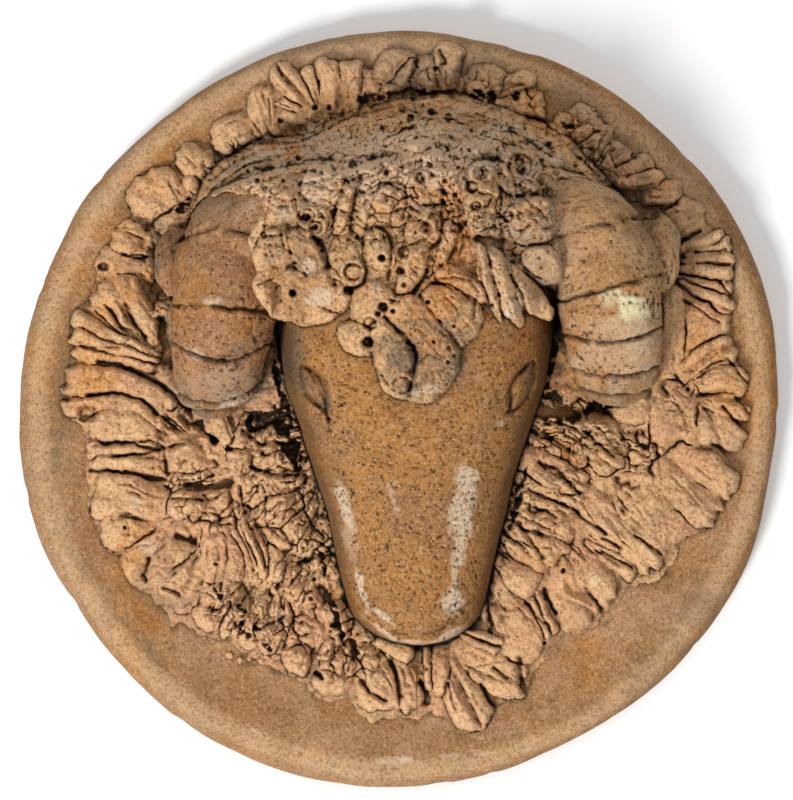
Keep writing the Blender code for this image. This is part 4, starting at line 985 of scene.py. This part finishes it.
def pressed_rings(side, rings, seed, u, v):
    """How deep the rings are pressed into a horn, and how strongly their dark lines show."""
    middle_u = drawn(np.array(HEAD_ACROSS + side * HORN_SPACING / 2), np.array(-0.045), np.array(0.0))[0]
    share = (u - middle_u) / HORN_HALF_DRAWN
    dent = np.zeros(u.shape)
    ring_line = np.zeros(u.shape)
    for left, middle, right, depth, heavy in rings:
        ring_v = middle + (right - left) / 2 * share + ((right + left) / 2 - middle) * share**2
        ring_v = ring_v + 1.6 * noise(seed, 12, u, v)
        away = v - ring_v + 0.9 * noise(seed + 9, 3.5, u, v)
        reach = smooth_step(1.5, 1.1, np.abs(share))
        strength = 0.55 + 0.60 * np.exp(-(((share - heavy) / 0.6) ** 2)) + 0.35 * noise(seed + 1, 8, u, v)
        strength = strength * reach
        wide = 1.0 + 1.2 * strength
        dent += depth * MM * np.exp(-((away / wide) ** 2)) * strength
        dent -= 0.35 * MM * np.exp(-(((np.abs(away) - 4) / 3) ** 2)) * reach
        dent += 0.10 * depth * MM * smooth_step(24, 2, away) * smooth_step(-1, 1, away) * reach
        shown = np.exp(-((away / (0.9 * wide)) ** 2)) * smooth_step(0.15, 0.7, strength)
        ring_line = np.maximum(ring_line, shown)
    return dent, ring_line


def horn_points(side, rings, seed):
    """The points of one horn, station by station, whether each faces the viewer, and its dark lines."""
    line, radius, across, outwards = horn_line(side)
    around = np.linspace(0, 2 * math.pi, HORN_STEPS, endpoint=False)[None, :, None]
    ray = across[:, None, :] * np.cos(around) + outwards[:, None, :] * np.sin(around)
    points = line[:, None, :] + ray * radius[:, None, None]
    u, v = drawn(points[..., 0], points[..., 1], points[..., 2])
    facing = smooth_step(-0.15, 0.25, -ray[..., 1])
    dent, ring_line = pressed_rings(side, rings, seed, u, v)
    place = np.moveaxis(points, -1, 0)
    dent -= 0.6 * MM * rough(seed + 2, 0.014, 2, *place)
    dent -= 0.16 * MM * rough(seed + 4, 0.0028, 3, *place)
    pits = smooth_step(0.38, 0.62, noise(seed + 6, 0.0013, *place))
    pits = pits * (0.35 + 0.65 * smooth_step(-0.1, 0.4, noise(seed + 7, 0.012, *place)))
    dent += 0.45 * MM * pits
    ring_line = np.maximum(ring_line, 0.8 * pits)
    points = points - ray * dent[..., None]
    points[..., 1] = np.minimum(points[..., 1], -4 * MM)
    return points, u, v, facing, ring_line


def make_horn(name, side, rings, seed):
    """A coiled horn as a closed tube with rings pressed across its front."""
    points, u, v, facing, ring_line = horn_points(side, rings, seed)
    rows, steps = u.shape
    index = np.arange(rows * steps).reshape(rows, steps)
    after = np.roll(index, -1, axis=1)
    corners = np.stack((index[:-1], after[:-1], after[1:], index[1:]), axis=-1).reshape(-1, 4)
    # Painted shade on the horn's sides turned away from the front; the rings' lines and pits take grime and
    # painted shade
    low = smooth_step(0.75, 0.05, facing) * 0.6
    values = values_at(u.ravel(), v.ravel(), np.maximum(ring_line, low).ravel(), 0.5, facing.ravel())
    horn = piece_from_arrays(name, points.reshape(-1, 3), corners, values)
    heights = np.where(facing > 0.5, -points[..., 1], 0)
    return horn, u, v, heights


def horn_raster(u, v, heights):
    """The horn's front as a height map, for the crown's clay over it and for the grime and painted shade
    beside it.
    """
    raster = np.zeros(GRID_U.shape)
    for share in np.arange(0, 1, 0.2):
        across, down, height = (line[:-1] * (1 - share) + line[1:] * share for line in (u, v, heights))
        column = np.clip(((across - GRID_LEFT) / STEP).astype(int), 0, raster.shape[1] - 1)
        row = np.clip(((down - GRID_TOP) / STEP).astype(int), 0, raster.shape[0] - 1)
        np.maximum.at(raster, (row, column), height)
    return spread(raster, 1)


def slab_profile():
    """Half of the slab's section, from front to back: distances from the middle, heights over the wall."""
    edge = PLAQUE_WIDTH / 2
    points = [(reach, None) for reach in np.linspace(0.0005, 0.085, 9)]
    points += [(reach, None) for reach in np.arange(0.0865, edge - RIM_ROUNDING, 0.0011)]
    for turn in np.linspace(0, math.pi / 2, 10):
        lowered = RIM_ROUNDING * (1 - math.cos(turn))
        points.append((edge - RIM_ROUNDING * (1 - math.sin(turn)), SLAB_THICKNESS + RIM_RISE - lowered))
    for height in np.linspace(SLAB_THICKNESS + RIM_RISE - RIM_ROUNDING, BACK_CHAMFER, 6)[1:]:
        points.append((edge, height))
    points += [(edge - 0.0007, BACK_CHAMFER * 0.35), (edge - BACK_CHAMFER, 0)]
    points += [(reach, 0) for reach in np.arange(edge - 0.006, edge - 0.028, -0.004)]
    points += [(reach, 0) for reach in np.arange(edge - 0.034, edge - 0.056, -0.0009)]
    points += [(reach, 0) for reach in np.linspace(edge - 0.060, 0.0005, 10)]
    return points


def slab_surface():
    """The slab, row by row from front to back: places, distance inwards and which parts are seen."""
    bearing = np.linspace(0, 2 * math.pi, SLAB_STEPS, endpoint=False)
    profile = slab_profile()
    reach = np.array([point[0] for point in profile])
    heights = [point[1] for point in profile]
    swell = outline(bearing) - PLAQUE_WIDTH / 2
    share = smooth_step(PLAQUE_WIDTH / 4, PLAQUE_WIDTH / 2, reach)
    distance = reach[:, None] + share[:, None] * swell[None, :]
    x = distance * np.cos(bearing)
    z = distance * np.sin(bearing)
    front = np.array([height is None for height in heights])[:, None]
    given = np.array([0.0 if height is None else height for height in heights])[:, None]
    height = np.where(front, slab_front(x, z), given)
    u, v = drawn(x, -height, z)
    waves = 0.80 * rough(131, 60, 2, u, v) + 0.22 * rough(133, 13, 3, u, v)
    scratches = creases(137, 60, u + 0.6 * v, v * 3) ** 3
    height = height + np.where(height > BACK_CHAMFER * 2, 1, 0) * (waves * MM - 0.25 * MM * scratches)
    at_edge = smooth_step(0.128, 0.139, reach)[:, None]
    nicks = smooth_step(0.5, 0.95, noise(139, 26, u, v))
    distance = distance + MM * at_edge * (0.30 * noise(141, 34, u, v) - 0.5 * nicks * (height > 0))
    x = distance * np.cos(bearing)
    z = distance * np.sin(bearing)
    behind = (np.arange(len(reach)) >= len(reach) - SLAB_BACK_ROWS)[:, None]
    from_socket = np.hypot(x, z - (PLAQUE_WIDTH / 2 - SOCKET_BELOW_TOP))
    socket = smooth_step(SOCKET_WIDTH / 2 + 0.5 * MM, SOCKET_WIDTH / 2 - 0.5 * MM, from_socket)
    wiped = 0.22 * MM * (1 + rough(143, 0.012, 3, x * 3, z * 0.7))
    depth = socket * SOCKET_DEPTH + wiped * (1 - socket)
    height = np.where(behind, height + depth, height)
    seen = np.where(behind, 0.0, 1.0) * np.ones(SLAB_STEPS)
    return x, z, height, u, v, PLAQUE_WIDTH / 2 - distance, seen


def make_slab(cavity):
    """The round slab with its hand-smoothed border, worn edge, paler on its left as painted light, and flat
    back with a nail socket.
    """
    x, z, height, u, v, inwards, seen = slab_surface()
    rows = len(x)
    index = np.arange(rows * SLAB_STEPS).reshape(rows, SLAB_STEPS)
    after = np.roll(index, -1, axis=1)
    corners = np.stack((index[:-1], index[1:], after[1:], after[:-1]), axis=-1).reshape(-1, 4)
    points = np.stack((x, -height, z), axis=-1).reshape(-1, 3)
    pinched = smooth_step(0.002, 0.006, inwards) * smooth_step(0.014, 0.009, inwards)
    edge_wear_and_light = (0.5 + 0.5 * noise(145, 40, u, v)) * smooth_step(0.010, 0.003, inwards)
    # Grime and painted shade on the slab next to the raised fleece
    hollow = read_grid(cavity, u, v) * seen * smooth_step(0.004, 0.012, inwards)
    values = values_at(u.ravel(), v.ravel(), hollow.ravel(), 0.5, seen.ravel())
    # A band just inside the rim counts as raised, so it gets the paler colour, partly a painted highlight
    values["relief"] = (0.5 + 0.28 * pinched * seen).ravel()
    values["grey"] = np.maximum(values["grey"], (0.35 * edge_wear_and_light * seen).ravel())
    # Painted light: the worn edge is made paler on the left side only
    values["pale"] = np.maximum(values["pale"], (0.12 * edge_wear_and_light * seen * (u < 400)).ravel())
    return piece_from_arrays("clay_slab", points, corners, values)


def linear(red, green, blue):
    """A colour given from 0 to 255 as a screen shows it, in the linear values that a shader takes."""
    shares = [value / 255 for value in (red, green, blue)]
    return tuple(s / 12.92 if s <= 0.04045 else ((s + 0.055) / 1.055) ** 2.4 for s in shares) + (1,)


class Clay:
    """Builds one fired clay finish, node by node."""

    def __init__(self, name):
        self.material = bpy.data.materials.new(name)
        self.material.use_nodes = True
        self.nodes = self.material.node_tree.nodes
        self.links = self.material.node_tree.links
        self.shader = self.nodes["Principled BSDF"]
        self.place = self.nodes.new("ShaderNodeTexCoord").outputs["Object"]

    def noise(self, scale, detail=4, roughness=0.6, distortion=0):
        made = self.nodes.new("ShaderNodeTexNoise")
        self.links.new(self.place, made.inputs["Vector"])
        made.inputs["Scale"].default_value = scale
        made.inputs["Detail"].default_value = detail
        made.inputs["Roughness"].default_value = roughness
        made.inputs["Distortion"].default_value = distortion
        return made.outputs["Fac"]

    def cells(self, scale):
        made = self.nodes.new("ShaderNodeTexVoronoi")
        self.links.new(self.place, made.inputs["Vector"])
        made.inputs["Scale"].default_value = scale
        return made.outputs["Distance"]

    def patches(self, low, high, *how):
        """Patches of noise: 0 between them, 1 on them."""
        return self.between(self.noise(*how), low, high)

    def kept(self, name):
        made = self.nodes.new("ShaderNodeAttribute")
        made.attribute_name = name
        return made.outputs["Fac"]

    def between(self, value, low, high):
        """0 where the value is low, 1 where it is high."""
        made = self.nodes.new("ShaderNodeMapRange")
        made.interpolation_type = "SMOOTHSTEP"
        self.links.new(value, made.inputs["Value"])
        made.inputs["From Min"].default_value = low
        made.inputs["From Max"].default_value = high
        return made.outputs["Result"]

    def worked(self, operation, first, second):
        made = self.nodes.new("ShaderNodeMath")
        made.operation = operation
        made.use_clamp = True
        for socket, value in zip(made.inputs, (first, second)):
            if isinstance(value, (int, float)):
                socket.default_value = value
            else:
                self.links.new(value, socket)
        return made.outputs["Value"]

    def mixed(self, share, first, second):
        made = self.nodes.new("ShaderNodeMix")
        made.data_type = "RGBA"
        self.links.new(share, made.inputs["Factor"])
        for socket, value in ((made.inputs[6], first), (made.inputs[7], second)):
            if isinstance(value, tuple):
                socket.default_value = value
            else:
                self.links.new(value, socket)
        return made.outputs[2]

    def over(self, colour, laid, amount, *shares):
        """Lays a colour over another where all these shares are high."""
        share = shares[0]
        for factor in (*shares[1:], amount):
            share = self.worked("MULTIPLY", share, factor)
        return self.mixed(share, colour, linear(*laid))

    def finish(self, colour, roughness, bump, bump_strength):
        self.links.new(colour, self.shader.inputs["Base Color"])
        self.links.new(roughness, self.shader.inputs["Roughness"])
        self.shader.inputs["Specular IOR Level"].default_value = CLAY_SPECULAR
        made = self.nodes.new("ShaderNodeBump")
        made.inputs["Strength"].default_value = bump_strength
        made.inputs["Distance"].default_value = CLAY_GRAIN
        self.links.new(bump, made.inputs["Height"])
        self.links.new(made.outputs["Normal"], self.shader.inputs["Normal"])
        return self.material


def fired_clay(name, main, second, warm, clouds, grime_and_shade, specks):
    """Grogged clay: mottled colours, worn places with painted highlight and sunk places with painted shade,
    grog, smoke and painted shade, slip and painted light, dark specks, and grime with painted shade in the
    hollows.
    """
    clay = Clay(name)
    colour = clay.mixed(clay.patches(0.42, 0.60, 42, 5, 0.65), linear(*main), linear(*second))
    colour = clay.mixed(clay.patches(0.50, 0.66, 21, 5, 0.65, 0.5), colour, linear(*warm))
    colour = clay.over(colour, OLIVE, clouds, clay.patches(0.50, 0.66, 66, 5, 0.7, 0.4))
    colour = clay.over(colour, LIGHT, 0.34, clay.patches(0.48, 0.72, 230, 4, 0.7))
    colour = clay.over(colour, SHADE, 0.46, clay.patches(0.48, 0.74, 110, 5, 0.75))
    # Painted highlight and rubbed wear on raised places, painted shade and dark wash in sunk ones
    colour = clay.over(colour, WORN_AND_HIGHLIGHT, 0.50, clay.between(clay.kept("relief"), 0.52, 0.90))
    sunk = clay.between(clay.kept("relief"), 0.48, 0.08)
    colour = clay.over(colour, SUNK, 0.76, sunk, clay.patches(0.2, 0.6, 170, 4, 0.7))
    colour = clay.over(colour, WORN_AND_HIGHLIGHT, 0.42, clay.patches(0.52, 0.64, 1300, 3, 0.7))
    colour = clay.over(colour, GROG, 0.52, clay.patches(0.48, 0.62, 840, 4, 0.8, 0.3))
    # Smoke and grime, with painted shade from the marks over the collar's top, the top right and the curls
    colour = clay.over(colour, SMOKE_AND_SHADE, 0.80, clay.kept("grey"), clay.patches(0.30, 0.60, 95, 5, 0.75))
    # Pale slip and scrapes, with painted light from the broad mark over the crown
    colour = clay.over(colour, SLIP_AND_LIGHT, 0.90, clay.kept("pale"), clay.patches(0.36, 0.53, 900, 5, 0.8))
    colour = clay.over(colour, YELLOW, 0.95, clay.kept("yellow"), clay.patches(0.26, 0.54, 300, 5, 0.7))
    dots = clay.worked("SUBTRACT", 1.0, clay.between(clay.cells(560), 0.12, 0.28))
    colour = clay.over(colour, SPECK, specks, dots, clay.patches(0.42, 0.56, 240, 3))
    # Grime and painted shade: hollows, the face's steep sides and the horns' turned-away sides are darkened
    # in colour
    colour = clay.over(colour, GRIME_AND_SHADE, grime_and_shade, clay.kept("cavity"), clay.patches(0.10, 0.48, 600, 5, 0.75))
    roughness = clay.worked("ADD", clay.worked("MULTIPLY", clay.noise(200, 2), 0.22), 0.70)
    fine = clay.worked("MULTIPLY", clay.noise(900, 6, 0.75), 0.7)
    coarse = clay.worked("MULTIPLY", clay.cells(560), 0.4)
    return clay.finish(colour, roughness, clay.worked("ADD", fine, coarse), 0.75)


def dress(piece, material):
    piece.data.materials.append(material)
    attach(piece, "root")
    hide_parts("ram_head_plaque")


def cavity_of(height, whole, around):
    """How far each place lies under the surface round it, from 0 to 1, in patches where it is shallow."""
    patchy = 0.30 + 0.70 * smooth_step(-0.5, 0.35, rough(150, 22, 3, GRID_U, GRID_V))
    fine = blurred(whole, 1.5) - height
    close = blurred(whole, 4) - height
    wide = blurred(around, 11) - height
    # The finish paints these places dark: grime in cracks, and painted shade in crevices and, through the
    # wide term, beside the tall head and horns
    return (
        smooth_step(0.18 * MM, 0.75 * MM, fine) * 0.9 * patchy
        + smooth_step(0.7 * MM, 2.2 * MM, close) * 0.8 * patchy
        + smooth_step(1.6 * MM, 3.2 * MM, close) * 0.9
        + smooth_step(6 * MM, 18 * MM, wide) * 0.6
    ).clip(0, 1)


def relief_of(height, whole, around):
    """How far each place stands out of the surface round it, from 0 to 1, and 0.5 where it is level."""
    standing = (height - blurred(whole, 5)) / (1.3 * MM) + (height - blurred(around, 16)) / (14 * MM)
    return (0.5 + 0.25 * standing).clip(0, 1)


def make_fleece(fleece, slab, brow, cavity, relief):
    """The fleece's two meshes, left out where the slab or the head covers it."""
    x, _, z = placed(GRID_U, GRID_V, SLAB_THICKNESS)
    on_slab = np.hypot(x, z) < outline(np.arctan2(z, x)) - 4 * MM
    raised = blurred(((fleece > slab + 0.9 * MM) & on_slab).astype(float), 1.6) > 0.10
    shown = raised & (fleece > slab - 2 * MM) & (fleece > brow - 5 * MM)
    values = values_at(GRID_U, GRID_V, cavity, relief)
    return (
        piece_from_grid("fleece_left", fleece, shown & (GRID_U < FLEECE_PARTED + STEP), values),
        piece_from_grid("fleece_right", fleece, shown & (GRID_U > FLEECE_PARTED - STEP), values),
    )


def make_forelock(forelock, head, fleece, cavity, relief):
    """The forelock's mesh, left out where the head or the fleece covers it."""
    shown = (forelock > head - 1.0 * MM) & (forelock > fleece - 6 * MM) & (forelock > SLAB_THICKNESS)
    return piece_from_grid("forelock", forelock, shown, values_at(GRID_U, GRID_V, cavity, relief))


def make_plaque():
    """Builds and dresses every piece of the plaque."""
    fleece, dark = fleece_heights()
    head, face_relief, incised = head_heights()
    x, _, z = placed(GRID_U, GRID_V, SLAB_THICKNESS)
    slab = slab_front(x, z)
    left_horn, *left = make_horn("left_horn", -1, HORN_RINGS[0], 151)
    right_horn, *right = make_horn("right_horn", 1, HORN_RINGS[1], 161)
    horns = np.maximum(horn_raster(*left), horn_raster(*right))
    forelock = forelock_heights(head, blurred(horns, 1.6))
    brow = np.maximum(head, forelock)
    whole = np.maximum.reduce((slab, fleece, brow))
    around = np.maximum(whole, horns)
    # These cavity values become grime and painted shade in the clay's colour
    fleece_cavity = np.maximum(cavity_of(fleece, whole, around), dark)
    brow_cavity = cavity_of(brow, whole, around) * smooth_step(-2 * MM, 1 * MM, brow - fleece)

    fleeces = make_fleece(fleece, slab, brow, fleece_cavity, relief_of(fleece, whole, around))
    face = make_face(face_relief, np.maximum(brow_cavity, incised))
    locks = make_forelock(forelock, head, fleece, brow_cavity, relief_of(brow, whole, around))
    clay_slab = make_slab(cavity_of(slab, whole, around))
    for clay, pieces in (
        ("slab_clay", (clay_slab,)),
        ("fleece_clay", fleeces),
        ("face_clay", (face,)),
        ("forelock_clay", (locks,)),
        ("left_horn_clay", (left_horn,)),
        ("right_horn_clay", (right_horn,)),
    ):
        material = fired_clay(clay, *CLAYS[clay])
        for piece in pieces:
            dress(piece, material)


def plain(name, colour):
    made = bpy.data.materials.new(name)
    made.use_nodes = True
    shader = made.node_tree.nodes["Principled BSDF"]
    shader.inputs["Base Color"].default_value = colour
    shader.inputs["Roughness"].default_value = 0.9
    return made


def make_stage():
    """A white wall behind the plaque, seen only from its front, and a pale floor well below."""
    wall_material = plain("wall_paint", WALL_COLOUR)
    nodes, links = wall_material.node_tree.nodes, wall_material.node_tree.links
    side = nodes.new("ShaderNodeNewGeometry")
    clear = nodes.new("ShaderNodeBsdfTransparent")
    choice = nodes.new("ShaderNodeMixShader")
    links.new(side.outputs["Backfacing"], choice.inputs["Fac"])
    links.new(nodes["Principled BSDF"].outputs["BSDF"], choice.inputs[1])
    links.new(clear.outputs["BSDF"], choice.inputs[2])
    links.new(choice.outputs["Shader"], nodes["Material Output"].inputs["Surface"])
    for name, half, place, turn, material in (
        ("wall", 1.6, (0, WALL_GAP, 0), math.pi / 2, wall_material),
        ("floor", 3.0, (0, 0, -FLOOR_BELOW), 0, plain("floor_paint", FLOOR_COLOUR)),
    ):
        mesh = bpy.data.meshes.new(name)
        mesh.from_pydata(
            [(-half, -half, 0), (half, -half, 0), (half, half, 0), (-half, half, 0)], [], [(0, 1, 2, 3)]
        )
        plane = bpy.data.objects.new(name, mesh)
        plane.location = place
        plane.rotation_euler = (turn, 0, 0)
        plane.data.materials.append(material)
        bpy.context.scene.collection.objects.link(plane)
        if name == "wall":
            plane.visible_shadow = False
            plane.visible_diffuse = False


def aim(thing, target):
    thing.rotation_euler = (Vector(target) - thing.location).to_track_quat("-Z", "Y").to_euler()


def make_lights():
    world = bpy.data.worlds.new("studio")
    world.use_nodes = True
    world.node_tree.nodes["Background"].inputs["Color"].default_value = WORLD_COLOUR
    world.node_tree.nodes["Background"].inputs["Strength"].default_value = WORLD_STRENGTH
    bpy.context.scene.world = world
    for name, place, size, power in LIGHTS:
        lamp = bpy.data.lights.new(name, "AREA")
        lamp.size = size
        lamp.energy = power
        light = bpy.data.objects.new(name, lamp)
        light.location = place
        bpy.context.scene.collection.objects.link(light)
        aim(light, (0, 0, 0))


def make_camera():
    data = bpy.data.cameras.new("camera")
    data.sensor_width = SENSOR_WIDTH
    data.lens = data.sensor_width * DRAWN_FOCUS / max(PICTURE_SIZE)
    data.clip_start = 0.01
    camera = bpy.data.objects.new("camera", data)
    camera.location = (ACROSS, -DRAWN_FROM, UP)
    camera.rotation_euler = (math.pi / 2, 0, 0)
    bpy.context.scene.collection.objects.link(camera)
    bpy.context.scene.camera = camera


make_plaque()
make_stage()
make_lights()
make_camera()
bpy.context.scene.view_settings.view_transform = "Standard"
